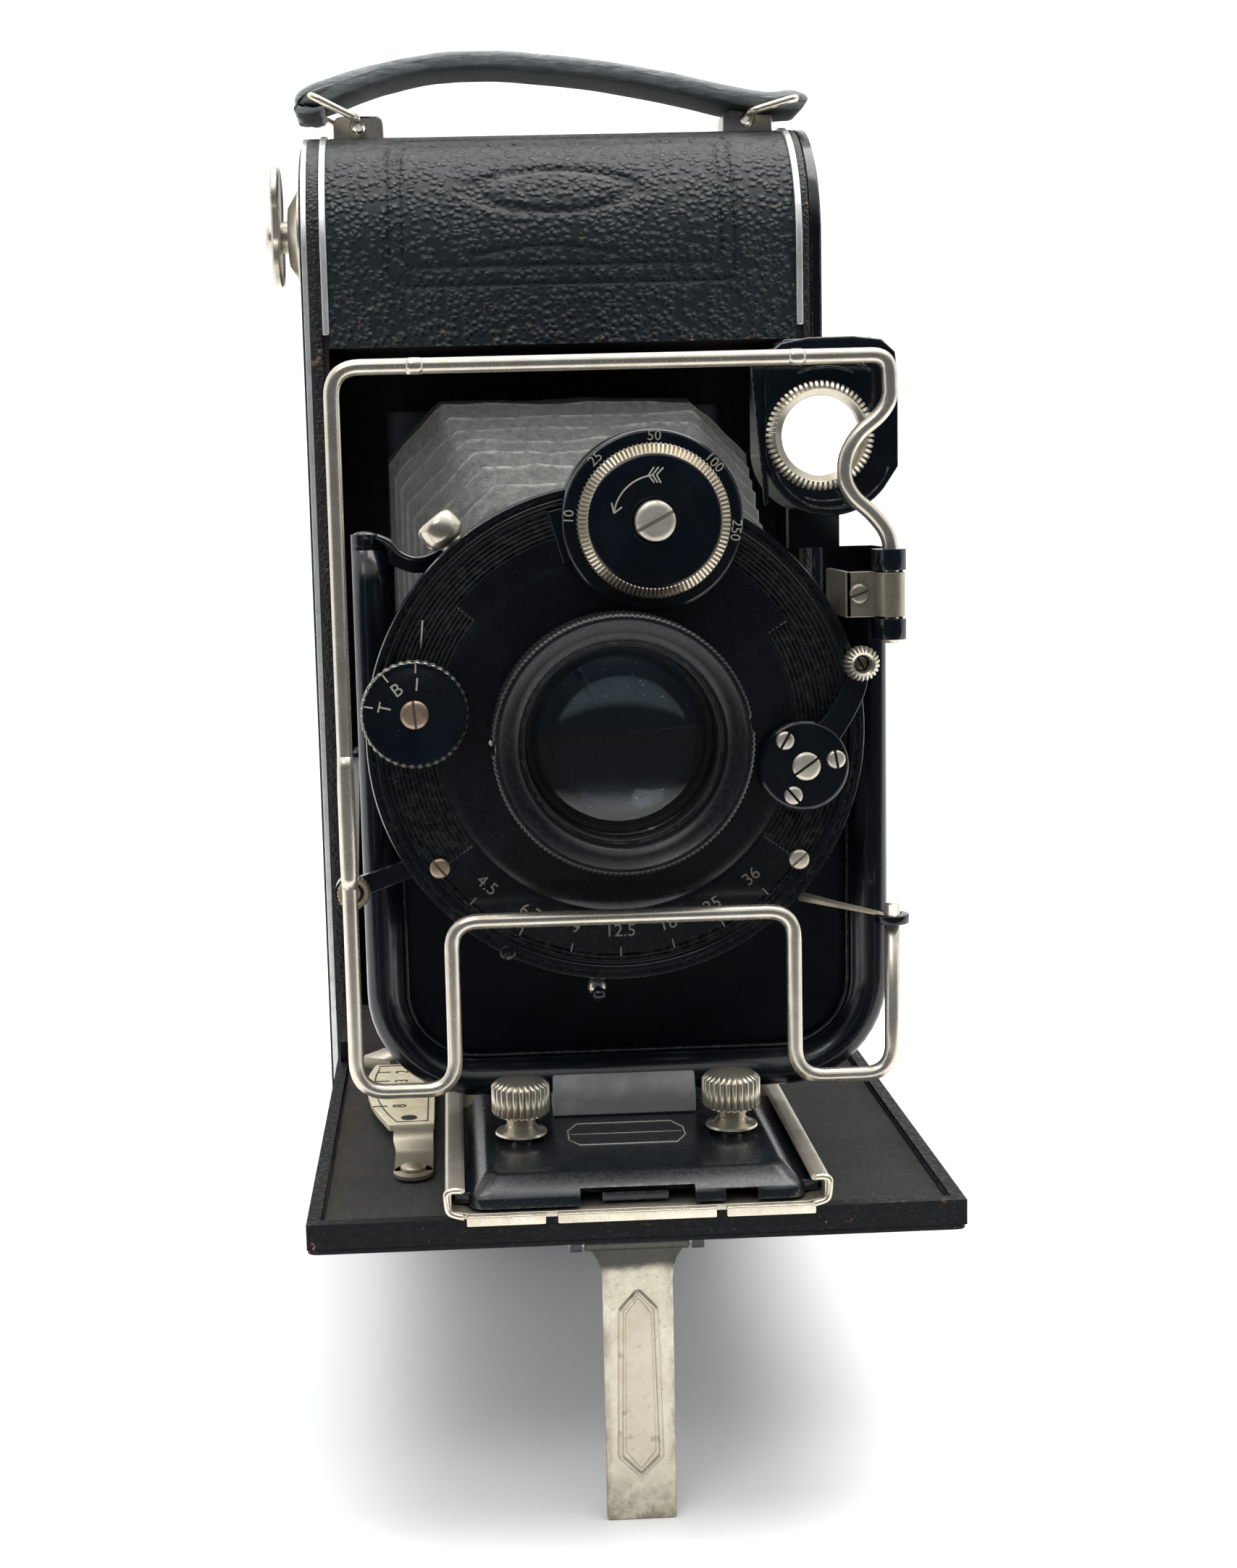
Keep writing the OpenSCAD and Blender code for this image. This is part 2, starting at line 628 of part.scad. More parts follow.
module shutter_housing() { place() color(PAINT)
    difference() {
        union() {
            rod_y([0, -shutter_y + face_t, lens_z], shutter_r, shutter_y - face_t - housing_back);

            rod_y([dial_at[0], -shutter_y + face_t, dial_at[1]], 9.3, shutter_y - face_t - housing_back - 1);
        }
        rod_y([0, -shutter_y, lens_z], shutter_r - 1.6, shutter_y - housing_back - 1.4);
        rod_y([0, -shutter_y, lens_z], 12.8, 20);
        // Slots for the release lever and the aperture pointer
        box([-30, -83.2, 66.4], [-17, -81.2, 77]);
        translate([0, -iris_y - 0.2, lens_z]) rotate([-90, 0, 0]) rotate([0, 0, 52])
            rotate_extrude(angle = 80) translate([25, 0]) square([5, 1.3]);
    }
}

module shutter_face() { place() color(PAINT)
    difference() {
        union() {
            rod_y([0, -shutter_y, lens_z], shutter_r - 0.1, face_t);
            rod_y([dial_at[0], -shutter_y - 2.4, dial_at[1]], 9.9, 2.4 + face_t);
        }
        rod_y([0, -shutter_y - 5, lens_z], 13.2, 10);
    }
}

module speed_dial() { place() color(NICKEL) union() {
    rod_y([dial_at[0], -shutter_y - 5.1, dial_at[1]], 8.5, 2.6);
    rod_y([dial_at[0], -shutter_y - 6.1, dial_at[1]], 2.35, 1.1);
} }

module mode_dial() { place() color(PAINT) union() {
    rod_y([mode_at[0], -shutter_y - 1.9, mode_at[1]], 6.1, 1.8);
    rod_y([mode_at[0], -shutter_y - 2.6, mode_at[1]], 1.65, 0.8);
} }

module cocking_lever() { place() color(PAINT) {
    y0 = -shutter_y - 1.3;
    run = knob_at - boss_at;
    union() {
        rod_y([boss_at[0], y0, boss_at[1]], 5.2, 1.2);
        translate([boss_at[0], y0, boss_at[1]]) rotate([0, -atan2(run[1], run[0]), 0])
            box([0, 0, -1.2], [norm(run), 1.2, 1.2]);
        rod_y([knob_at[0], y0 - 2.9, knob_at[1]], 1.95, 3.2);
        rod_y([boss_at[0], y0 - 0.9, boss_at[1]], 1.75, 1);
        for (p = [[-2.4, 3.0], [3.5, 0.6], [-1.4, -3.4]])
            rod_y([boss_at[0] + p[0], y0 - 0.5, boss_at[1] + p[1]], 1.2, 0.6);
    }
} }

module release_lever() { place() color(PAINT) {
    run = release_knob - release_pivot;
    difference() {
        union() {
            translate([release_pivot[0], -82.7, release_pivot[1]]) rotate([0, -atan2(run[1], run[0]), 0])
                box([0, 0, -1.1], [norm(run), 1.0, 1.1]);
            rod_y([release_pivot[0], -82.7, release_pivot[1]], 2.2, 1.0);
            rod_y([release_knob[0], -84.6, release_knob[1]], 1.85, 3.0);
        }
        rod_y([release_pivot[0], -90, release_pivot[1]], 0.8, 20);
    }
} }

// Ring inside the housing with the pointer that reaches out below
module aperture_lever() { place() color(PAINT) {
    reach = [-2.6, 56.8 - lens_z];
    union() {
        difference() {
            rod_y([0, -iris_y, lens_z], 24, 0.8);
            rod_y([0, -iris_y - 1, lens_z], 16, 3);
        }
        translate([0, -iris_y, lens_z]) rotate([0, -atan2(reach[1], reach[0]), 0])
            box([20, 0, -0.9], [norm(reach) + 0.6, 0.8, 0.9]);
        rod_y([reach[0], -83.6, lens_z + reach[1]], 0.5, 4.2);
        translate([reach[0], -83.6, lens_z + reach[1]]) sphere(r = 0.85);
    }
} }

module cable_socket() { place() color(NICKEL)
    translate([0, -81, lens_z]) rotate([0, -38.7, 0]) difference() {
        union() {
            rod_z([0, 0, shutter_r + 0.02], 1.7, 2);
            translate([0, 0, 31.4]) sphere(r = 2.3);
        }
        rod_z([0, 0, 30], 1.5, 5);
    }
}

module face_screws() { place() color(NICKEL)
    for (p = [[20.7, 72], [-20.6, 72.3]]) difference() {
        rod_y([p[0], -shutter_y - 0.5, p[1]], 1.2, 0.5);
        box([p[0] - 1.3, -shutter_y - 0.6, p[1] - 0.15], [p[0] + 1.3, -shutter_y - 0.3, p[1] + 0.15]);
    }
}

module lens_ring() { place() color(PAINT)
    translate([0, 0, lens_z]) rotate([90, 0, 0]) rotate_extrude()
        polygon([[13.0, 82], [13.0, shutter_y + gap], [13.7, shutter_y + gap], [13.7, 88],
                 [lens_ring_r, 88.4],
                 [lens_ring_r, 94.2], [lens_ring_r - 0.4, 94.5], [13.3, 94.5], [11.3, 92.4],
                 [10.95, 92.4], [10.95, 89],
            [11.6, 89], [11.6, 82]]);
}

// Front and rear lens elements
module lens_glass() { place() color(GLASS) {
    intersection() {
        rod_y([0, -93.6, lens_z], 10.9, 4.4);
        translate([0, -93.4 + 30, lens_z]) sphere(r = 30);
    }
    intersection() {
        rod_y([0, -71, lens_z], 9.9, 3.6);
        translate([0, -67.6 - 34, lens_z]) sphere(r = 34);
    }
} }

module rear_cell() { place() color(PAINT)
    difference() {
        rod_y([0, -78.3, lens_z], 12.6, 11.3);
        rod_y([0, -79, lens_z], 9.95, 14);
    }
}

module shutter_blades() { place() color(ALUMINIUM)
    for (a = [0, 120, 240]) translate([0, -81.6, lens_z]) rotate([0, a, 0]) rotate([-90, 0, 0])
        rotate([0, 0, 1]) rotate_extrude(angle = 118) translate([0.1, 0]) square([14.4, 0.25]);
}

module iris_blades() { place() color(ALUMINIUM)
    difference() {
        rod_y([0, -80.9, lens_z], 15, 0.4);
        rod_y([0, -81.5, lens_z], 9, 2);
    }
}

// Path of the wire in (X, Z): up from the lower eye, round the frame and back to the upper lug
function arc_at(c, r, a0, a1, n = 5) =
    [for (i = [0 : n]) c + r * [cos(a0 + (a1 - a0) * i / n), sin(a0 + (a1 - a0) * i / n)]];
wire_path = concat(
    [[axis_x, 67.4]],
    arc_at([axis_x - bend, wire_low + bend], bend, 0, -90),
    arc_at([step_x + bend, wire_low + bend], bend, 270, 180),
    arc_at([step_x - bend, step_z - bend], bend, 0, 90),
    arc_at([-step_x + bend, step_z - bend], bend, 90, 180),
    arc_at([-step_x - bend, wire_low + bend], bend, 0, -90),
    arc_at([-wire_half_w + bend, wire_low + bend], bend, 270, 180),
    arc_at([-wire_half_w + bend, wire_top - bend], bend, 180, 90),
    arc_at([axis_x - bend - 0.2, wire_top - bend], bend, 90, 0),
    [[axis_x - 0.5, 124.2], [29.4, 122.4], [27.3, 120.3], [25.9, 118.3], [25.5, 116.3], [25.9, 114.2],
     [27.5, 112.2], [29.3, 110.4], [axis_x - 0.3, 108.9], [axis_x, 107.4]],
    [[axis_x, 96.6]]);

// A closed tube along a plane path at a given Y
function unit(v) = v / norm(v);
function heading(p, i) = unit(i == 0 ? p[1] - p[0] : i == len(p) - 1 ? p[i] - p[i - 1]
    : unit(p[i] - p[i - 1]) + unit(p[i + 1] - p[i]));
module flat_tube(p, y, r, sides = 10) {
    points = [for (i = [0 : len(p) - 1], k = [0 : sides - 1])
        let (h = heading(p, i), a = 360 * k / sides, u = r * cos(a), v = r * sin(a))
        [p[i][0] - h[1] * u, y + v, p[i][1] + h[0] * u]];
    last = (len(p) - 1) * sides;
    walls = [for (i = [0 : len(p) - 2], k = [0 : sides - 1])

        [i * sides + k, i * sides + (k + 1) % sides, (i + 1) * sides + (k + 1) % sides,
         (i + 1) * sides + k]];
    caps = [[for (k = [sides - 1 : -1 : 0]) k], [for (k = [0 : sides - 1]) last + k]];
    polyhedron(points, concat(walls, caps));
}

module wire_finder() { place() color(NICKEL) flat_tube(wire_path, wire_y, wire_r); }

// Two lugs on an upright plate, and the arm behind the reflecting finder
module finder_bracket() { place() color(PAINT)
    difference() {
        union() {
            for (z0 = [97.3, 105.0]) {
                rod_z([axis_x, wire_y, z0], 1.7, 2.3);
                box([axis_x - 1.7, wire_y, z0], [32.3, wire_y + 2.4, z0 + 2.3]);
            }
            box([31.4, wire_y + 1.6, 97.3], [32.3, -72, 107.3]);
            box([25.6, -73.7, 97.3], [32.3, -72, 107.3]);
            box([24.6 - 3, -73.7, 107.2], [27.6, -72, 118.4]);
            rod_y([finder_at[0], -73.7, finder_at[1]], 3, 1.7);
            rod_y([finder_at[0], -75.6, finder_at[1]], 0.9, 2);
        }
        rod_z([axis_x, wire_y, 90], wire_r + 0.07, 30);
    }
}

// Spring leaf whose knuckle grips the wire between the lugs
module hinge_leaf() { place() color(NICKEL) {
    difference() {
        union() {
            rod_z([axis_x, wire_y, 99.75], 1.55, 5.1);
            box([25.6, wire_y + 0.75, 99.75], [axis_x, wire_y + 1.5, 104.85]);
            box([25.6, wire_y + 0.75, 99.75], [26.4, -board_y, 104.85]);
        }
        rod_z([axis_x, wire_y, 90], wire_r + 0.07, 30);
    }
    rod_y([27.1, wire_y + 0.25, 102.3], 1.1, 0.5);
} }

module finder_outline(inset) {
    translate([17 + inset, 119.4]) square([15 - 2 * inset, 11.4 - inset]);
    translate([24.5, 118.6]) circle(r = 7.5 - inset);
    translate([17 + inset, 118.6]) square([15 - 2 * inset, 2]);
}

module finder_housing() { place() color(PAINT)
    difference() {
        along_y(-86, 11.4) finder_outline(0);
        along_y(-85, 9.4) finder_outline(1);
        rod_y([ring_at[0], -87, ring_at[1]], 4.9, 3);
        box([19.2, -84.2, 128], [29.8, -76.6, 132]);
        rod_y([finder_at[0], -76, finder_at[1]], 0.95, 3);
    }
}

module finder_ring() { place() color(NICKEL)
    difference() {
        union() {
            rod_y([ring_at[0], -86.95, ring_at[1]], 6.1, 0.95);
            rod_y([ring_at[0], -86.1, ring_at[1]], 4.85, 1.0);
        }
        rod_y([ring_at[0], -88, ring_at[1]], 4.3, 5);
    }
}

// Front lens inside the ring, and the viewing lens on top
module finder_lenses() { place() color(GLASS) {
    intersection() {
        rod_y([ring_at[0], -86.8, ring_at[1]], 4.28, 1.6);
        translate([ring_at[0], -86.7 + 9, ring_at[1]]) sphere(r = 9);
    }
    box([19.25, -84.15, 129.6], [29.75, -76.65, 130.6]);
} }

module finder_mirror() { place() color(ALUMINIUM)
    translate([24.5, -80.3, 123.5]) rotate([45, 0, 0]) cube([10.6, 9.6, 0.7], center = true);
}

body_shell();
body_leather();
trim_strips();
side_plate_left();
side_leather_left();
inner_chamber();
bellows();
handle_lugs();
window_glass();
hinge_pins();
key_collar();
bed_plate();
bed_lining();
bed_leather();
tripod_bush();
leg_bracket();
focus_scale();
scale_bracket();
bed_struts();
window_cover();
bed_button();
winding_key();
film_carrier();
side_plate_right();
side_leather_right();
roller_top();
roller_bottom();
take_up_spool();
handle_strap();
handle_loop_left();
handle_loop_right();
leg();
focus_lever();
track();
carriage();
grip_left();
grip_right();
standard_frame();
lens_board();
shutter_housing();
shutter_face();
speed_dial();
mode_dial();
cocking_lever();
release_lever();
aperture_lever();
cable_socket();
face_screws();
lens_ring();
lens_glass();
rear_cell();
shutter_blades();
iris_blades();
wire_finder();
finder_bracket();
hinge_leaf();
finder_housing();
finder_ring();
finder_lenses();
finder_mirror();
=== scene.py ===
import math
import random

import bmesh
import bpy
from mathutils import Matrix, Vector, noise


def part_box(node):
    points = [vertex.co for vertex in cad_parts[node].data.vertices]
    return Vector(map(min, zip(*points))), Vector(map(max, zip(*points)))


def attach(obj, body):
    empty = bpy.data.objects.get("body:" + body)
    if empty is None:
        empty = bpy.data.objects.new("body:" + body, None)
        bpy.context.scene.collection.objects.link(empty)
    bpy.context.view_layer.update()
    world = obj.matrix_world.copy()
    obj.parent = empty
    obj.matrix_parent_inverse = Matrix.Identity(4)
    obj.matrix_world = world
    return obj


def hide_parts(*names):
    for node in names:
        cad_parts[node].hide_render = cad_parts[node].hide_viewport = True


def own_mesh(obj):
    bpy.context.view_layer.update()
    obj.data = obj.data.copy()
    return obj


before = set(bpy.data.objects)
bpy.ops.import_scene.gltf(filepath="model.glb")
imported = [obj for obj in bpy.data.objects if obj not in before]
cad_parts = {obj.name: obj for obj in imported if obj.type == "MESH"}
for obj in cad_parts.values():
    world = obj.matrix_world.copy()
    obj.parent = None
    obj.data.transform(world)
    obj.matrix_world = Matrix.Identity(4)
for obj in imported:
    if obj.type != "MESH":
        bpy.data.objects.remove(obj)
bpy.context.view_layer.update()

MM = 0.001
# All shapes are drawn in millimetres with Y = 0 on the body's front face
FACE_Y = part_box("body_leather")[0].y / MM


def cad(node):
    """Lowest and highest corner of a CAD node, in drawing millimetres."""
    return tuple(Vector((p.x / MM, p.y / MM - FACE_Y, p.z / MM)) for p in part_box(node))


def middle(node):
    low, high = cad(node)
    return (low + high) / 2


# Body with round ends and a front opening; the lens axis and the shutter's front
low, high = cad("body_leather")
END_R, BODY_H = (high.y - low.y) / 2, high.z
OPEN_LOW, OPEN_HIGH = 33.5, BODY_H - 33.5
ARC_Z = BODY_H - END_R
LENS = Vector((0, 0, 87.0))
FACE = -84.4
# Wire finder's hinge axis (X, Y), and the reflecting finder's middle (X, Z)
HINGE = Vector((30.6, -88.0))
FINDER_X, FINDER_Z = 24.5, 118.6
# Bellows: front and rear end, and number of pleats
BELLOWS_FRONT, BELLOWS_BACK, BELLOWS_FOLDS = -67.5, 28.9, 10


# ---- outlines
def cosd(degrees):
    return math.cos(math.radians(degrees))


def sind(degrees):
    return math.sin(math.radians(degrees))


def arc(cx, cy, r, a0, a1, n=8):
    """Points on an arc, angles in degrees."""
    turns = [a0 + (a1 - a0) * i / n for i in range(n + 1)]
    return [(cx + r * cosd(a), cy + r * sind(a)) for a in turns]


def fillet(points, radius, n=5, closed=True):
    """Rounds a polygon's or a 3-D path's corners; radius is one number or one per point."""
    made, count = [], len(points)
    for i, p in enumerate(points):
        r = radius[i] if isinstance(radius, (list, tuple)) else radius
        if r <= 0 or (not closed and i in (0, count - 1)):
            made.append(tuple(p))
            continue
        p0, p1, p2 = Vector(points[i - 1]), Vector(p), Vector(points[(i + 1) % count])
        a, b = (p0 - p1), (p2 - p1)
        cut = min(r, a.length * 0.49, b.length * 0.49)
        a, b = p1 + a.normalized() * cut, p1 + b.normalized() * cut
        for k in range(n + 1):
            t = k / n
            made.append(tuple(a * (1 - t) ** 2 + p1 * 2 * t * (1 - t) + b * t ** 2))
    return made


def smooth(points, per=6):
    """Catmull-Rom curve through the points."""
    pts = [Vector(p) for p in points]
    pts = [2 * pts[0] - pts[1], *pts, 2 * pts[-1] - pts[-2]]
    made = []
    for i in range(1, len(pts) - 2):
        p0, p1, p2, p3 = pts[i - 1:i + 3]
        for k in range(per):
            t = k / per
            made.append(0.5 * ((2 * p1) + (p2 - p0) * t + (2 * p0 - 5 * p1 + 4 * p2 - p3) * t * t
                               + (3 * p1 - p0 - 3 * p2 + p3) * t ** 3))
    return made + [pts[-2]]


# ---- solids
class Solid:
    """Geometry in drawing millimetres, gathered in one bmesh."""

    def __init__(self):
        self.bm = bmesh.new()

    def verts(self, points):
        return [self.bm.verts.new(p) for p in points]

    def face(self, verts):
        if len(set(verts)) > 2:
            try:
                return self.bm.faces.new(verts)
            except ValueError:
                return None

    def rings(self, rings, loop=False, caps=True, around=True):
        """Skins a row of rings, each a list of points."""
        made = [self.verts(r) for r in rings]
        count = len(made[0])
        for i in range(len(made) - (0 if loop else 1)):
            a, b = made[i], made[(i + 1) % len(made)]
            for k in range(count if around else count - 1):
                m = (k + 1) % count
                self.face([a[k], a[m], b[m], b[k]])
        if caps and not loop and around:
            self.face(made[0][::-1])
            self.face(made[-1])
        return self

    def prism(self, outline, axis, a, b):
        """Extrudes an outline. axis x takes (Y, Z) points, y takes (X, Z) and z takes (X, Y)."""
        put = {"x": lambda p, d: (d, p[0], p[1]), "y": lambda p, d: (p[0], d, p[1]), "z": lambda p,
               d: (p[0], p[1], d)}[axis]
        return self.rings([[put(p, d) for p in outline] for d in (a, b)])

    def box(self, low, high):
        return self.prism([(low[0], low[1]), (high[0], low[1]), (high[0], high[1]), (low[0], high[1])],
                          "z", low[2], high[2])

    def turn(self, profile, centre, axis="y", n=96, closed=False, ripple=None, start=0, span=360):
        """Turns (radius, distance along the axis) points; ripple(i, angle) changes a point's radius."""
        x, y, z = (Vector(v) for v in {"x": ((0, 1, 0), (0, 0, 1), (1, 0, 0)),
                "y": ((1, 0, 0), (0, 0, 1), (0, 1, 0)), "z": ((1, 0, 0), (0, 1, 0), (0, 0, 1))}[axis])
        c = Vector(centre)
        rings = []
        whole = span == 360
        for k in range(n if whole else n + 1):
            t = math.radians(start + span * k / n)
            u = x * math.cos(t) + y * math.sin(t)
            ring = []
            for i, (r, h) in enumerate(profile):
                extra = ripple(i, t) if ripple and r > 1e-6 else 0
                dr, dh = extra if isinstance(extra, tuple) else (extra, 0)
                ring.append(c + u * (r + dr) + z * (h + dh))
            rings.append(ring)
        made = [self.verts(r) for r in rings]
        poles = {}
        for i, (r, h) in enumerate(profile):
            if r < 1e-6 and whole:
                poles[i] = made[0][i]
                for ring in made[1:]:
                    self.bm.verts.remove(ring[i])
                    ring[i] = poles[i]
        count = len(profile)
        for k in range(len(made) - (0 if whole else 1)):
            a, b = made[k], made[(k + 1) % len(made)]
            for i in range(count if closed else count - 1):
                m = (i + 1) % count
                if a[i] is b[i] and a[m] is b[m]:
                    continue
                self.face([v for j, v in enumerate([a[i], a[m], b[m], b[i]])
                           if v not in [a[i], a[m], b[m], b[i]][:j]])
        return self

    def tube(self, path, radius, sides=16):
        """A round bar along a path; radius is one number or one per point."""
        pts = [Vector(p) for p in path]
        rings, normal = [], None
        for i, p in enumerate(pts):
            d = (pts[min(i + 1, len(pts) - 1)] - pts[max(i - 1, 0)]).normalized()
            if normal is None:
                normal = d.orthogonal() if abs(d.y) > 0.9 else Vector((0, 1, 0))
            normal = (normal - d * normal.dot(d)).normalized()
            side = d.cross(normal)
            r = radius[i] if isinstance(radius, (list, tuple)) else radius
            rings.append([p + normal * r * math.cos(2 * math.pi * k / sides)
                          + side * r * math.sin(2 * math.pi * k / sides) for k in range(sides)])
        return self.rings(rings)

    def grid(self, point, nu, nv):
        """A sheet of nu x nv quads; point(u, v) takes shares from 0 to 1."""
        made = [self.verts([point(i / nu, j / nv) for j in range(nv + 1)]) for i in range(nu + 1)]
        for i in range(nu):
            for j in range(nv):
                self.face([made[i][j], made[i + 1][j], made[i + 1][j + 1], made[i][j + 1]])
        return self

    def take(self, other, matrix):
        """Adds a moved copy of another solid."""
        index = {v: self.bm.verts.new(matrix @ v.co) for v in other.bm.verts}
        for f in other.bm.faces:
            self.face([index[v] for v in f.verts])
        return self

    def text(self, words, size, matrix, depth=0.04):
        """Raised lettering on the XY plane of the matrix, centred, in millimetres."""
        curve = bpy.data.curves.new("words", "FONT")
        curve.body, curve.size, curve.extrude = words, size, depth
        curve.align_x, curve.align_y = "CENTER", "CENTER"
        curve.resolution_u = 3
        holder = bpy.data.objects.new("words", curve)
        bpy.context.scene.collection.objects.link(holder)
        bpy.context.view_layer.update()
        mesh = bpy.data.meshes.new_from_object(holder.evaluated_get(bpy.context.evaluated_depsgraph_get()))
        index = [self.bm.verts.new(matrix @ v.co) for v in mesh.vertices]
        for p in mesh.polygons:
            self.face([index[i] for i in p.vertices])
        bpy.data.objects.remove(holder)
        bpy.data.meshes.remove(mesh)
        return self


def shade(obj, bevel, segments, angle, crisp):
    """Rounded edges and smooth shading as modifiers."""
    if bevel:
        m = obj.modifiers.new("bevel", "BEVEL")
        m.width, m.segments, m.limit_method = bevel * MM, segments, "ANGLE"
        m.angle_limit = math.radians(angle)
        m.use_clamp_overlap = True
        w = obj.modifiers.new("normals", "WEIGHTED_NORMAL")
        w.keep_sharp, w.weight = False, 80
    elif crisp:
        obj.data.set_sharp_from_angle(angle=math.radians(angle))


M = {}


def emit(name, solid, body, material, stands_for=(), bevel=0.0, segments=2, angle=32,
         subdivide=0, crisp=True, weld=0.0005, cut=None, thick=0.0):
    """Makes a piece from a solid: it rides on the body and stands for CAD nodes."""
    bm = solid.bm
    if weld:
        bmesh.ops.remove_doubles(bm, verts=bm.verts, dist=weld)
    bmesh.ops.recalc_face_normals(bm, faces=bm.faces)
    for v in bm.verts:
        v.co = Vector((v.co.x, v.co.y + FACE_Y, v.co.z)) * MM
    mesh = bpy.data.meshes.new(name)
    bm.to_mesh(mesh)
    bm.free()
    mesh.materials.append(M[material])
    mesh.shade_smooth()
    obj = bpy.data.objects.new(name, mesh)
    bpy.context.scene.collection.objects.link(obj)
    if thick:
        m = obj.modifiers.new("sheet", "SOLIDIFY")
        m.thickness, m.offset = thick * MM, -1
    if cut is not None:
        knife = emit(name + "_cutter", cut, None, material)
        m = obj.modifiers.new("cut", "BOOLEAN")
        m.object, m.operation, m.solver = knife, "DIFFERENCE", "EXACT"
        bpy.context.view_layer.update()
        obj.data = bpy.data.meshes.new_from_object(obj.evaluated_get(bpy.context.evaluated_depsgraph_get()))
        obj.data.name = name
        obj.modifiers.clear()
        bpy.data.objects.remove(knife)
        obj.data.shade_smooth()
    if body is None:
        return obj
    if subdivide:
        m = obj.modifiers.new("subdivision", "SUBSURF")
        m.levels = m.render_levels = subdivide
    shade(obj, bevel, segments, angle, crisp)
    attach(obj, body)
    if stands_for:
        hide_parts(*([stands_for] if isinstance(stands_for, str) else stands_for))
    return obj


def dress(node, material, bevel=0.12, segments=2, angle=32):
    """Keeps a CAD node's shape: new material, welded seams and rounded edges."""
    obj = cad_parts[node]
    obj.data.materials.clear()
    obj.data.materials.append(M[material])
    obj.data.shade_smooth()
    m = obj.modifiers.new("weld", "WELD")
    m.merge_threshold = 2e-6
    if bevel:
        shade(obj, bevel, segments, angle, True)
    else:
        w = obj.modifiers.new("normals", "WEIGHTED_NORMAL")
        w.keep_sharp, w.weight = False, 80
    return obj


def ribs(teeth, depth, rows, power=1.0, lift=1.0):
    """Ripple of a knurled edge for the numbered points of a turned profile."""
    return lambda i, a: depth * (abs(math.sin(teeth * a / 2)) ** power - lift) if i in rows else 0


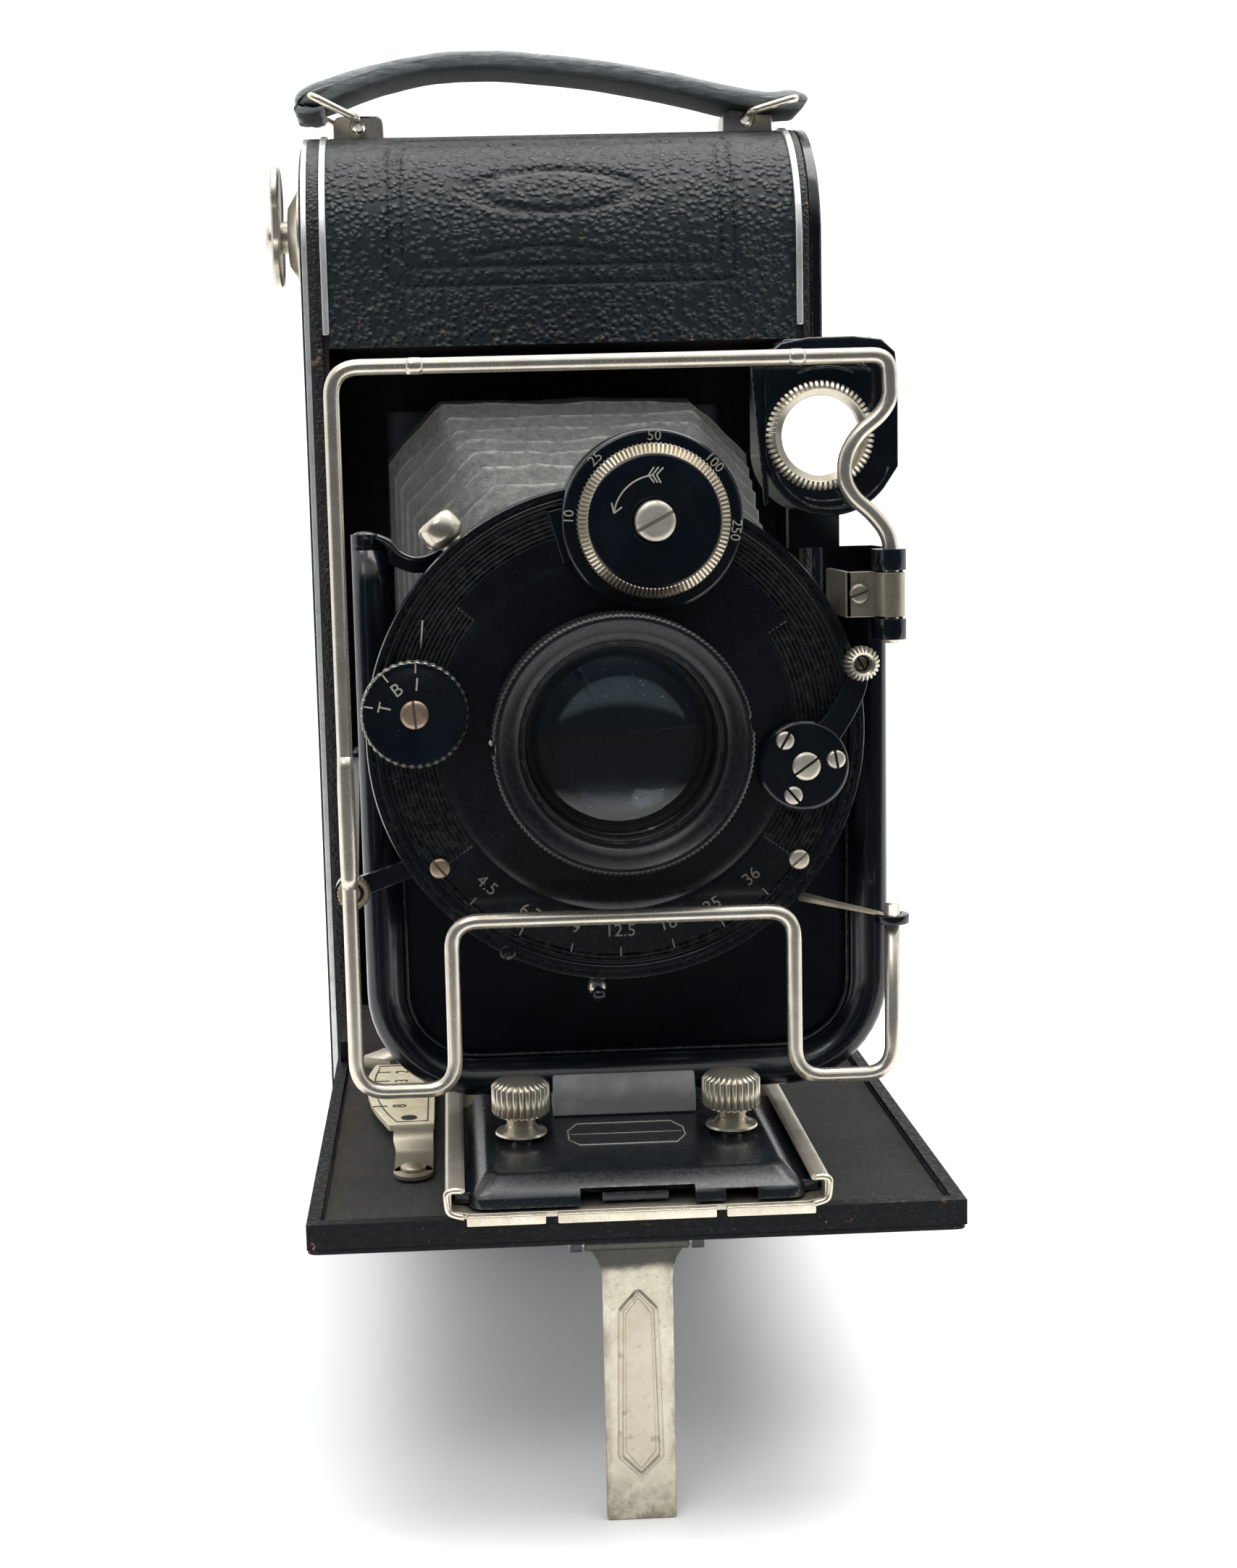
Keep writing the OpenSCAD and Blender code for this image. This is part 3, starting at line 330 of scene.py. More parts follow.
# ---- materials
class Paint:
    """A procedural material on one Principled shader; coordinates are millimetres."""

    def __init__(self, name, **sockets):
        self.material = bpy.data.materials.new(name)
        self.material.use_nodes = True
        self.tree = self.material.node_tree
        self.tree.nodes.clear()
        self.shader = self.tree.nodes.new("ShaderNodeBsdfPrincipled")
        output = self.tree.nodes.new("ShaderNodeOutputMaterial")
        self.tree.links.new(self.shader.outputs[0], output.inputs["Surface"])
        self.height = None
        self.set(**sockets)

    def set(self, **sockets):
        for key, value in sockets.items():
            self.put(self.shader.inputs[key.replace("_", " ")], value)

    def put(self, socket, value):
        if isinstance(value, bpy.types.NodeSocket):
            self.tree.links.new(value, socket)
        elif isinstance(value, tuple) and len(value) == 3 and socket.type == "RGBA":
            socket.default_value = (*value, 1)
        else:
            socket.default_value = value

    def node(self, kind, props=None, **inputs):
        n = self.tree.nodes.new("ShaderNode" + kind)
        for key, value in (props or {}).items():
            setattr(n, key, value)
        for key, value in inputs.items():
            self.put(n.inputs[int(key[1:]) if key[0] == "_" else key.replace("_", " ")], value)
        return n

    def where(self, scale=(1, 1, 1)):
        """Position on the piece in millimetres, stretched by scale."""
        place = self.node("TexCoord").outputs["Object"]
        return self.node("VectorMath", {"operation": "MULTIPLY"}, _0=place,
                         _1=tuple(s / MM for s in scale)).outputs[0]

    def noise(self, scale, detail=3.0, rough=0.5, at=None, distortion=0.0):
        return self.node("TexNoise", Vector=at or self.where(), Scale=scale, Detail=detail,
                         Roughness=rough, Distortion=distortion).outputs["Fac"]

    def cells(self, scale, at=None, feature="F1", random_=1.0, smooth_=None):
        n = self.node("TexVoronoi", {"feature": feature}, Vector=at or self.where(), Scale=scale,
                      Randomness=random_)
        if smooth_ is not None:
            n.inputs["Smoothness"].default_value = smooth_
        return n.outputs["Distance"]

    def math(self, kind, a, b=0.0, clamp=False):
        return self.node("Math", {"operation": kind, "use_clamp": clamp}, _0=a, _1=b).outputs[0]

    def times(self, *values):
        made = values[0]
        for value in values[1:]:
            made = self.math("MULTIPLY", made, value)
        return made

    def most(self, a, b):
        return self.math("MAXIMUM", a, b)

    def span(self, value, a, b, c=0.0, d=1.0, soft=False):
        """Maps value from a..b to c..d, clamped."""
        n = self.node("MapRange", {"interpolation_type": "SMOOTHSTEP" if soft else "LINEAR"}, Value=value)
        for socket, v in zip(("From Min", "From Max", "To Min", "To Max"), (a, b, c, d)):
            self.put(n.inputs[socket], v)
        return n.outputs["Result"]

    def patch(self, noise_, a, b, c=0.0, d=1.0):
        """A noise mapped from a..b to c..d."""
        return self.span(self.noise(*noise_), a, b, c, d)

    def mix(self, share, a, b):
        n = self.node("Mix", {"data_type": "RGBA"})
        self.put(n.inputs[0], share)
        self.put(n.inputs[6], a if isinstance(a, bpy.types.NodeSocket) else (*a, 1))
        self.put(n.inputs[7], b if isinstance(b, bpy.types.NodeSocket) else (*b, 1))
        return n.outputs[2]

    def blend(self, share, a, b):
        """Number a where share is 0 and b where it is 1."""
        n = self.node("Mix", {"data_type": "FLOAT"})
        for i, v in ((0, share), (2, a), (3, b)):
            self.put(n.inputs[i], v)
        return n.outputs[0]

    def edges(self, radius=0.25, low=0.02, high=0.2):
        """1 on worn outer edges: where rounding the surface would turn its normal."""
        geometry = self.node("NewGeometry").outputs["Normal"]
        rounded = self.node("Bevel", {"samples": 3}, Radius=radius * MM).outputs[0]
        dot = self.node("VectorMath", {"operation": "DOT_PRODUCT"}, _0=geometry,
                        _1=rounded).outputs["Value"]
        return self.span(self.math("SUBTRACT", 1.0, dot), low, high)

    def axis(self, which):
        """One coordinate of the position, in millimetres."""
        return self.node("SeparateXYZ", Vector=self.where()).outputs[which]

    def facing_up(self):
        return self.node("SeparateXYZ", Vector=self.node("NewGeometry").outputs["Normal"]).outputs["Z"]

    def bump(self, height, depth, strength=1.0):
        """Adds a relief whose height runs over depth millimetres."""
        n = self.node("Bump", Strength=strength, Distance=depth * MM, Height=height)
        if self.height is not None:
            self.put(n.inputs["Normal"], self.height)
        self.height = n.outputs[0]
        self.set(Normal=self.height)


def nickel(name, base=(0.66, 0.615, 0.53), rough=0.34, stain=0.35, brushed=None, dark=(0.16, 0.13, 0.09),
           even=False):
    p = Paint(name, Metallic=0.8)
    cloud = p.noise(0.35, 4.0, 0.6)
    fine = p.noise(3.5, 3.0, 0.65)
    spots = p.patch((1.6, 5.0, 0.72), 0.60, 0.70)
    tint = p.mix(p.span(cloud, 0.35, 0.7), base, tuple(c * k for c, k in zip(base, (0.86, 0.83, 0.78))))
    grime = p.times(p.most(spots, p.patch((0.6, 2.0), 0.62, 0.78)), stain)
    p.set(Base_Color=p.mix(grime, tint, dark), Roughness=p.blend(p.span(fine, 0.3, 0.75),
            rough * (0.95 if even else 0.8), rough * (1.08 if even else 1.35)))
    if brushed:
        lines = p.noise(6.0, 2.0, 0.6, at=p.where(brushed))
        p.bump(lines, 0.012)
    p.bump(p.noise(0.8 if even else 1.2, 2.0, 0.5), 0.002 if even else 0.006)
    return p.material


def enamel(name, base=(0.0030, 0.0052, 0.0082), rough=0.13, wear=0.5, dust=0.4, wear_at=0.22,
           metal=(0.30, 0.28, 0.25), shine=0.5,
           turned=False):
    """Stoved black enamel: smudged gloss, dust specks and rubbed edges; turned adds painted highlights on
    the face's grooves, painted lighter towards the top.
    """
    p = Paint(name, Specular_IOR_Level=shine)
    smudge = p.noise(0.22, 4.0, 0.62)
    grain = p.noise(2.2, 4.0, 0.7)
    specks = p.span(p.cells(1.7), 0.075, 0.045)
    fluff = p.times(specks, p.patch((0.5, 3.0), 0.50, 0.60))
    rub = p.times(p.edges(wear_at, 0.06, 0.3), p.patch((0.9, 5.0, 0.7), 0.46, 0.62))
    colour = p.mix(p.span(smudge, 0.45, 0.8), base, tuple(c * 1.7 + 0.001 for c in base))
    # With turned: grey rings painted over the grooves are painted highlights, made lighter towards the top
    # by lit (painted light from above), none in the plain fields
    if turned:
        x, z = p.axis("X"), p.math("SUBTRACT", p.axis("Z"), LENS.z)
        r = p.math("SQRT", p.math("ADD", p.times(x, x), p.times(z, z)))
        line = p.span(p.math("PINGPONG", r, 0.25), 0.15, 0.22)
        angle = p.math("ARCTAN2", z, x)
        plain_low = p.times(p.span(angle, -0.62, -0.66),
                            p.times(p.span(angle, -2.52, -2.48), p.span(r, 25.6, 25.4)))
        plain_high = p.times(p.span(angle, 0.52, 0.56),
                             p.times(p.span(angle, 2.46, 2.42), p.span(r, 23.4, 23.2)))
        field = p.times(p.span(r, 20.2, 20.4), p.span(r, 26.8, 26.6),
                        p.math("SUBTRACT", 1.0, p.most(plain_low, plain_high)))
        lit = p.span(z, -10.0, 24.0, 0.25, 1.0)
        colour = p.mix(p.times(line, field, lit), colour, (0.060, 0.062, 0.058))
    colour = p.mix(p.times(fluff, dust), colour, (0.40, 0.39, 0.36))
    p.set(Base_Color=p.mix(p.times(rub, wear), colour, metal), Roughness=p.blend(p.span(grain, 0.35, 0.7),
            rough, rough * 1.8))
    p.bump(p.noise(0.5, 2.0, 0.5), 0.010)
    return p.material


def leather(name, base=(0.0052, 0.0116, 0.0152), pebble=1.0, depth=0.36, rough=0.42, wear=0.8, top=True,
            shine=0.36):
    """Black pebble-grain leather with rubbed brown flecks; with top, upward faces get a painted top light.
    """
    p = Paint(name, Specular_IOR_Level=shine)
    at = p.where((0.92, 0.95, 1.05))
    bend = p.node("TexNoise", Vector=at, Scale=0.8, Detail=2.0).outputs["Color"]
    warped = p.node("VectorMath", {"operation": "MULTIPLY_ADD"}, _0=bend, _1=(0.7, 0.7, 0.7),
                    _2=at).outputs[0]
    grain = p.cells(pebble, at=warped, feature="SMOOTH_F1", smooth_=0.16)
    domes = p.span(grain, 0.08, 0.70, 1.0, 0.0, soft=True)
    patch = p.noise(0.11, 3.0, 0.6)
    flecks = p.times(p.patch((0.7, 5.0, 0.75), 0.635, 0.67), p.patch((0.11, 3.0), 0.47, 0.60))
    rubbed = p.times(p.span(domes, 0.72, 0.95), p.span(patch, 0.42, 0.66))
    colour = p.mix(rubbed, base, tuple(c * 1.9 + 0.006 for c in base))
    bumps = domes
    if top:
        # worn is a painted top light: upward faces painted lighter grey, varied in patches
        worn = p.times(p.span(p.facing_up(), 0.25, 0.95), p.patch((0.8, 4.0), 0.35, 0.7, 0.5, 1.0))
        colour = p.mix(worn, colour, (0.092, 0.096, 0.093))
        low_edge = p.times(p.span(p.axis("Z"), OPEN_HIGH + 4.0, OPEN_HIGH + 0.5),
                           p.patch((0.42, 4.0, 0.6), 0.63, 0.67))
        low_edge = p.times(low_edge, p.span(p.axis("Y"), FACE_Y + 8.0, FACE_Y + 3.0))
        flecks = p.most(flecks, p.times(low_edge, p.span(p.axis("Z"), OPEN_HIGH - 4.0, OPEN_HIGH - 1.0)))
        bumps = p.times(domes, p.span(p.facing_up(), 0.92, 0.55, 0.22, 1.0))
    colour = p.mix(p.times(flecks, wear), colour, (0.24, 0.145, 0.08))
    dust = p.times(p.span(p.cells(0.9), 0.07, 0.03), 0.35)
    p.set(Base_Color=p.mix(dust, colour, (0.35, 0.33, 0.29)), Roughness=p.blend(p.span(domes, 0.2, 0.9),
            rough * 1.45, rough))
    p.bump(bumps, depth)
    p.bump(p.noise(5.0, 3.0, 0.6), 0.02)
    return p.material


M["nickel"] = nickel("satin_nickel")
M["nickel_wire"] = nickel("wire_nickel", base=(0.68, 0.63, 0.55), rough=0.26, stain=0.12, even=True)
M["nickel_leg"] = nickel("leg_nickel", base=(0.56, 0.515, 0.42), rough=0.34, stain=0.6,
                         brushed=(0.15, 1, 3))
M["nickel_bright"] = nickel("bright_nickel", base=(0.76, 0.70, 0.585), rough=0.24, stain=0.25)
M["nickel_dull"] = nickel("dull_nickel", base=(0.42, 0.38, 0.30), rough=0.36, stain=0.6)
M["nickel_knob"] = nickel("knob_nickel", base=(0.62, 0.575, 0.48), rough=0.25, stain=0.10, even=True)
M["screw"] = nickel("screw_nickel", base=(0.74, 0.69, 0.60), rough=0.42, stain=0.7, dark=(0.25, 0.11, 0.05))
M["copper"] = nickel("screw_worn", base=(0.44, 0.33, 0.25), rough=0.4, stain=0.8, dark=(0.26, 0.12, 0.06))
M["aluminium"] = nickel("aluminium", base=(0.93, 0.94, 0.95), rough=0.40, stain=0.3, brushed=(3, 3, 0.15))
M["carrier"] = nickel("carrier_aluminium", base=(0.36, 0.37, 0.39), rough=0.46, stain=0.3, even=True)
M["enamel"] = enamel("black_enamel")
M["enamel_worn"] = enamel("black_enamel_worn", wear=0.9, dust=0.35, wear_at=0.35)
M["enamel_satin"] = enamel("black_satin", base=(0.008, 0.0105, 0.0125), rough=0.19, wear=0.8, dust=0.6,
                           wear_at=0.5, metal=(0.16, 0.16, 0.15))
# Foot bar finish: black enamel with a grey base colour, a painted highlight
M["enamel_bar_painted_highlight"] = enamel("bar_painted_highlight", base=(0.26, 0.264, 0.258), rough=0.42, wear=0.9, dust=0.6,
                         wear_at=0.4)
M["enamel_panel"] = enamel("black_panel", base=(0.0008, 0.0026, 0.0056), rough=0.34, wear=0.0, dust=0.5,
                           shine=0.10)
M["enamel_matte"] = enamel("lens_ring_enamel", base=(0.0035, 0.0045, 0.006), rough=0.26, wear=1.0,
                           dust=0.3, wear_at=0.2, shine=0.42)
# Shutter face enamel: its grey groove rings are painted highlights, lighter towards the top
M["enamel_face"] = enamel("shutter_face_enamel", base=(0.0042, 0.0055, 0.0075), rough=0.17, wear=0.55,
                          dust=0.35, wear_at=0.15, turned=True)
M["inner"] = enamel("inner_brown", base=(0.012, 0.0065, 0.0065), rough=0.5, wear=0.0, dust=0.2)
M["leather"] = leather("pebble_leather")
M["leather_edge"] = leather("edge_leather", base=(0.014, 0.0135, 0.013), depth=0.16, wear=1.0, pebble=1.6)
M["leather_bed"] = leather("bed_leather_skin", base=(0.0028, 0.0036, 0.0044), depth=0.02, rough=0.42,
                           wear=1.0, pebble=1.4, top=False, shine=0.2)


def leg_nickel():
    """The leg's nickel, with stains and brown grime, and painted shade at the top where it meets the bed.
    """
    p = Paint("leg_plate_nickel", Metallic=0.8)
    cloud = p.noise(0.35, 4.0, 0.6)
    spots = p.patch((1.4, 5.0, 0.72), 0.60, 0.68)
    # upper is painted shade: a near-black band at the top of the leg, under the bed
    upper = p.span(p.math("ADD", p.axis("Z"), p.patch((0.5, 3.0), 0.3, 0.7, -0.25, 0.25)), 28.6, 30.0,
                   soft=True)
    base = p.mix(p.span(cloud, 0.35, 0.7), (0.60, 0.555, 0.45), (0.49, 0.45, 0.355))
    low = p.times(p.span(p.axis("Z"), 6.0, 0.5), p.patch((0.7, 4.0, 0.7), 0.40, 0.62))
    side = p.times(p.span(p.math("ABSOLUTE", p.axis("X")), 2.9, 3.8),
                   p.span(p.noise(0.6, 4.0, 0.7, at=p.where((1, 1, 0.4))), 0.44, 0.6))
    grime = p.most(p.times(spots, 0.55), p.times(p.most(low, side), 0.6))
    colour = p.mix(grime, base, (0.17, 0.13, 0.085))
    p.set(Base_Color=p.mix(p.times(upper, 0.93), colour, (0.03, 0.032, 0.03)),
          Roughness=p.patch((3.0, 3.0), 0.3, 0.7, 0.26, 0.42))
    p.bump(p.noise(5.0, 2.0, 0.6), 0.006)
    p.bump(cloud, 0.05)
    return p.material


def strap_leather():
    p = Paint("strap_leather", Specular_IOR_Level=0.3)
    fibre = p.noise(1.1, 5.0, 0.7, at=p.where((0.25, 1, 1.3)))
    edge = p.times(p.edges(0.9, 0.05, 0.35), p.patch((0.7, 4.0, 0.7), 0.42, 0.62))
    lit = p.span(p.facing_up(), 0.35, 1.0)
    colour = p.mix(p.span(fibre, 0.35, 0.75), (0.12, 0.142, 0.152), (0.36, 0.39, 0.41))
    colour = p.mix(p.times(lit, p.patch((0.9, 4.0), 0.40, 0.66)), colour, (0.10, 0.085, 0.06))
    # below paints shade: near-black colour on down-facing faces is painted shade under the strap; the same
    # mask also raises roughness there
    below = p.span(p.facing_up(), -0.75, -1.0)
    colour = p.mix(below, p.mix(edge, colour, (0.21, 0.14, 0.075)), (0.004, 0.004, 0.0045))
    p.set(Base_Color=colour, Roughness=p.math("ADD", p.blend(fibre, 0.36, 0.62), p.times(below, 0.35)))
    p.bump(fibre, 0.25)
    p.bump(p.noise(4.0, 3.0), 0.03)
    return p.material


def cloth():
    p = Paint("bed_cloth", Sheen_Weight=0.08, Sheen_Roughness=0.5, Specular_IOR_Level=0.15)
    warp = p.node("TexWave", {"bands_direction": "X"}, Vector=p.where(), Scale=1.3, Distortion=1.6,
                  Detail=2.0, Detail_Scale=2.0).outputs["Fac"]
    weft = p.node("TexWave", {"bands_direction": "Y"}, Vector=p.where(), Scale=1.3, Distortion=1.6,
                  Detail=2.0, Detail_Scale=2.0).outputs["Fac"]
    weave = p.most(warp, weft)
    fuzz = p.noise(1.7, 6.0, 0.8)
    colour = p.mix(p.span(fuzz, 0.3, 0.75), (0.007, 0.008, 0.008), (0.052, 0.055, 0.052))
    x = p.axis("X")
    left = p.times(p.span(x, -28.0, -34.0), p.patch((0.45, 4.0, 0.65), 0.40, 0.66))
    colour = p.mix(p.times(left, 0.5), colour, (0.10, 0.055, 0.028))
    colour = p.mix(p.times(p.patch((0.10, 3.0), 0.5, 0.7), 0.45), colour, (0.014, 0.015, 0.015))
    p.set(Base_Color=colour, Roughness=0.88)
    p.bump(weave, 0.08)
    p.bump(fuzz, 0.12)
    return p.material


def bellows_skin():
    """Cracked black leather, rubbed grey on the ridges, with painted shade in the folds, on the side pleats
    and towards the rear.
    """
    p = Paint("bellows_leather", Specular_IOR_Level=0.14)
    crease = p.noise(1.0, 5.0, 0.68, at=p.where((1, 0.5, 1)))
    pitch = (BELLOWS_BACK - BELLOWS_FRONT) / BELLOWS_FOLDS
    phase = p.math("FRACT", p.math("DIVIDE", p.math("SUBTRACT", p.axis("Y"), BELLOWS_FRONT + FACE_Y),
            pitch))
    colour = p.mix(p.span(crease, 0.3, 0.75), (0.055, 0.057, 0.053), (0.155, 0.157, 0.147))
    # Painted shade: the folds are painted nearly black
    fold_shade = p.most(p.span(phase, 0.22, 0.03), p.span(phase, 0.90, 0.99))
    colour = p.mix(p.times(fold_shade, 0.85), colour, (0.008, 0.008, 0.008))
    ridge = p.times(p.span(phase, 0.60, 0.67), p.span(phase, 0.76, 0.70), p.patch((0.8, 3.0), 0.40, 0.60))
    colour = p.mix(p.times(ridge, 0.7), colour, (0.26, 0.26, 0.25))
    cracks = p.span(p.noise(2.2, 5.0, 0.75, at=p.where((0.35, 1, 1.6))), 0.60, 0.66)
    colour = p.mix(p.times(cracks, 0.5), colour, (0.20, 0.20, 0.19))
    # Painted shade on the side pleats and towards the rear, inside the body
    side = p.most(p.span(p.math("ABSOLUTE", p.axis("X")), 13.5, 19.5),
                  p.span(p.axis("Y"), FACE_Y - 52, FACE_Y - 4, 0.0, 0.95))
    p.set(Base_Color=p.mix(p.times(side, 0.74), colour, (0.012, 0.012, 0.012)),
          Roughness=p.blend(crease, 0.55, 0.75))
    p.bump(p.noise(0.9, 4.0, 0.6), 0.30)
    p.bump(p.cells(2.2), 0.05)
    return p.material


def ivory():
    p = Paint("ivory_enamel", Specular_IOR_Level=0.5, Roughness=0.3)
    age = p.noise(0.4, 4.0, 0.6)
    colour = p.mix(p.span(age, 0.35, 0.7), (0.80, 0.74, 0.55), (0.62, 0.54, 0.36))
    p.set(Base_Color=p.mix(p.times(p.patch((2.5, 4.0, 0.7), 0.62, 0.72), 0.5), colour, (0.25, 0.18, 0.10)))
    p.bump(age, 0.02)
    return p.material


def plain(name, colour, rough, other=None, scale=1.5, relief=0.01, **more):
    """A finish with cloudy variation between two tones."""
    p = Paint(name, **more)
    cloud = p.noise(scale, 4.0, 0.6)
    other = other or tuple(c * 0.7 for c in colour)
    p.set(Base_Color=p.mix(p.span(cloud, 0.35, 0.7), colour, other),
          Roughness=p.blend(cloud, rough * 0.85, rough * 1.2))
    p.bump(cloud, relief)
    return p.material


def glass(name, tint, rough=0.02):
    p = Paint(name, Transmission_Weight=1.0, IOR=1.5, Specular_IOR_Level=0.5)
    haze = p.noise(0.5, 4.0, 0.6)
    dust = p.span(p.cells(0.8), 0.055, 0.02)
    p.set(Base_Color=p.mix(p.span(haze, 0.3, 0.8), tint, tuple(c * 0.9 for c in tint)),
          Roughness=p.math("ADD", p.blend(haze, rough, rough * 3), p.times(dust, 0.5)))
    return p.material


M["leg_plate"] = leg_nickel()
M["strap"] = strap_leather()
M["cloth"] = cloth()
M["bellows"] = bellows_skin()
M["ivory"] = ivory()
M["marks"] = plain("engraved_marks", (0.50, 0.47, 0.40), 0.5, scale=4.0)
M["marks_dim"] = plain("engraved_marks_dim", (0.24, 0.225, 0.19), 0.5, scale=4.0)
M["ink"] = plain("scale_ink", (0.012, 0.012, 0.012), 0.5, scale=3.0)
M["barrel"] = plain("lens_barrel", (0.008, 0.008, 0.009), 0.55)
M["blades"] = plain("shutter_blades", (0.016, 0.017, 0.02), 0.42)
M["red"] = plain("red_celluloid", (0.20, 0.008, 0.006), 0.2, Transmission_Weight=0.3)
M["glass"] = glass("lens_glass", (0.80, 0.86, 0.90))
M["finder_glass"] = glass("finder_glass", (0.97, 0.97, 0.95))
M["mirror"] = plain("silvered_mirror", (0.95, 0.95, 0.93), 0.03, (0.9, 0.9, 0.88), relief=0.0, Metallic=1.0)
M["spool"] = plain("spool_black", (0.02, 0.02, 0.02), 0.5)

# CAD nodes that keep their shape: finish, bevel in millimetres and its segments
for node, look in {
        "trim_strips": ("aluminium", 0.22, 3),
        "body_shell": ("inner", 0),
        "side_plate_left": ("aluminium", 0.3, 3),
        "side_plate_right": ("enamel_worn", 0.35, 3),
        "inner_chamber": ("inner", 0.1),
        "window_glass": ("red", 0),
        "window_cover": ("nickel", 0.15),
        "hinge_pins": ("nickel_dull", 0),
        "key_collar": ("nickel", 0.15),
        "bed_button": ("nickel", 0.25, 3),
        "film_carrier": ("carrier", 0.1),
        "roller_top": ("nickel_bright", 0.15),
        "roller_bottom": ("nickel_bright", 0.15),
        "take_up_spool": ("spool", 0.12),
        "bed_plate": ("leather_bed", 0.3, 3),
        "tripod_bush": ("nickel", 0.2, 3),
        "leg_bracket": ("enamel", 0.2),
        "bed_struts": ("enamel", 0.2),
        "focus_lever": ("nickel_dull", 0.12),
        "lens_board": ("enamel", 0.2),
        "shutter_housing": ("enamel", 0.25, 3),
        "rear_cell": ("barrel", 0.2),
        "shutter_blades": ("blades", 0),
        "iris_blades": ("blades", 0),
        "aperture_lever": ("enamel", 0.15),
        "release_lever": ("enamel_worn", 0.15),
        "finder_bracket": ("enamel", 0.15)}.items():
    dress(node, *look)

# ---- camera, light and floor
scene = bpy.context.scene
scene.view_settings.view_transform = "Standard"
scene.view_settings.look = "None"

camera = bpy.data.objects.new("camera", bpy.data.cameras.new("camera"))
scene.collection.objects.link(camera)
camera.data.sensor_width = 36.0
camera.data.lens = 47.227
camera.data.shift_x, camera.data.shift_y = 0.05266, -0.02074
camera.data.clip_start, camera.data.clip_end = 0.01, 50.0
camera.location = Vector((-18.272, -315.337 + FACE_Y, 115.153)) * MM
camera.rotation_euler = [math.radians(a) for a in (82.6658, 1.4705, -2.4372)]
scene.camera = camera

world = bpy.data.worlds.new("studio")
scene.world = world
world.use_nodes = True
sky = world.node_tree
sky.nodes.clear()


def sky_node(kind, props=None, **inputs):
    n = sky.nodes.new("ShaderNode" + kind)
    for key, value in (props or {}).items():
        setattr(n, key, value)
    for key, value in inputs.items():
        socket = n.inputs[int(key[1:]) if key[0] == "_" else key.replace("_", " ")]
        if isinstance(value, bpy.types.NodeSocket):
            sky.links.new(value, socket)
        else:
            socket.default_value = value
    return n


way = sky_node("SeparateXYZ", Vector=sky_node("TexCoord").outputs["Generated"]).outputs
# A dim room in front of the camera's object, bright walls and ceiling elsewhere
front = sky_node("MapRange", {"interpolation_type": "SMOOTHSTEP"}, Value=way["Y"], _1=-0.12,
                 _2=-0.52).outputs[0]
level = sky_node("MapRange", {"interpolation_type": "SMOOTHSTEP"}, Value=way["Z"], _1=0.80,
                 _2=0.42).outputs[0]
room = sky_node("Math", {"operation": "MULTIPLY"}, _0=front, _1=level).outputs[0]
tone = sky_node("Mix", {"data_type": "RGBA"}, _0=room, _6=(1.0, 1.0, 1.0, 1),
                _7=(0.026, 0.040, 0.056, 1)).outputs[2]
sky_back = sky_node("Background", Color=tone, Strength=1.30)
sky.links.new(sky_back.outputs[0], sky_node("OutputWorld").inputs[0])


def softbox(name, at, towards, size, power, colour=(1, 1, 1)):
    lamp = bpy.data.lights.new(name, "AREA")
    lamp.shape, lamp.size, lamp.size_y = "RECTANGLE", size[0], size[1]
    lamp.energy, lamp.color = power, colour
    holder = bpy.data.objects.new(name, lamp)
    scene.collection.objects.link(holder)
    holder.location = at
    holder.rotation_euler = (Vector(towards) - Vector(at)).to_track_quat("-Z", "Y").to_euler()
    return holder


softbox("key_light", (0.30, 0.10, 0.95), (0, -0.02, 0.03), (0.6, 0.6), 7.0, (1.0, 0.985, 0.95))
softbox("top_light", (-0.20, 0.15, 0.95), (0, 0, 0.1), (0.5, 0.4), 3.0)
softbox("front_fill", (-0.30, -0.55, 0.80), (0, 0, 0.10), (0.45, 0.30), 1.3)

floor = Solid()
floor.turn([(0, 0), (150, 0), (600, 0), (2500, 0)], (0, -FACE_Y, -0.02), axis="z", n=64)
floor_paint = Paint("floor_white", Roughness=0.7, Specular_IOR_Level=0.1)
# White table that ends in shade in front of the scene
floor_white = floor_paint.mix(floor_paint.noise(0.02, 2.0), (0.95, 0.955, 0.955), (0.93, 0.94, 0.935))
floor_paint.set(Base_Color=floor_paint.mix(floor_paint.span(floor_paint.axis("Y"), -95.0, -150.0,
        soft=True), floor_white, (0.03, 0.03, 0.03)))
M["floor"] = floor_paint.material
emit("floor", floor, None, "floor")

# ---- body


def body_line(inset, fine=150, part="all"):
    """(Y, Z, outward Y, outward Z) from the opening's lower edge round the body to its upper edge."""
    line = []

    def straight(y, z0, z1, n, out):
        line.extend((y, z0 + (z1 - z0) * i / n, out, 0) for i in range(n))

    def bow(z, a0, a1, n):
        for i in range(n):
            a = math.radians(a0 + (a1 - a0) * i / n)
            line.append((END_R + (END_R - inset) * math.cos(a), z + (END_R - inset) * math.sin(a),
                         math.cos(a), math.sin(a)))

    if part == "all":
        straight(inset, OPEN_LOW, END_R, 6, -1)
    bow(END_R, 180, 360, 48)
    straight(2 * END_R - inset, END_R, ARC_Z, 24, 1)
    bow(ARC_Z, 0, 180, fine)
    if part == "all":
        straight(inset, ARC_Z, OPEN_HIGH, 36, -1)
        line.append((inset, OPEN_HIGH, -1, 0))
    else:
        straight(inset, ARC_Z, END_R, 24, -1)
    return line


def box_line(x, t, half_x, t0, t1, r):
    """Distance from a rounded rectangle's outline."""
    qx = abs(x) - (half_x - r)
    qt = abs(t - (t0 + t1) / 2) - ((t1 - t0) / 2 - r)
    return abs(math.hypot(max(qx, 0), max(qt, 0)) + min(max(qx, qt), 0) - r)


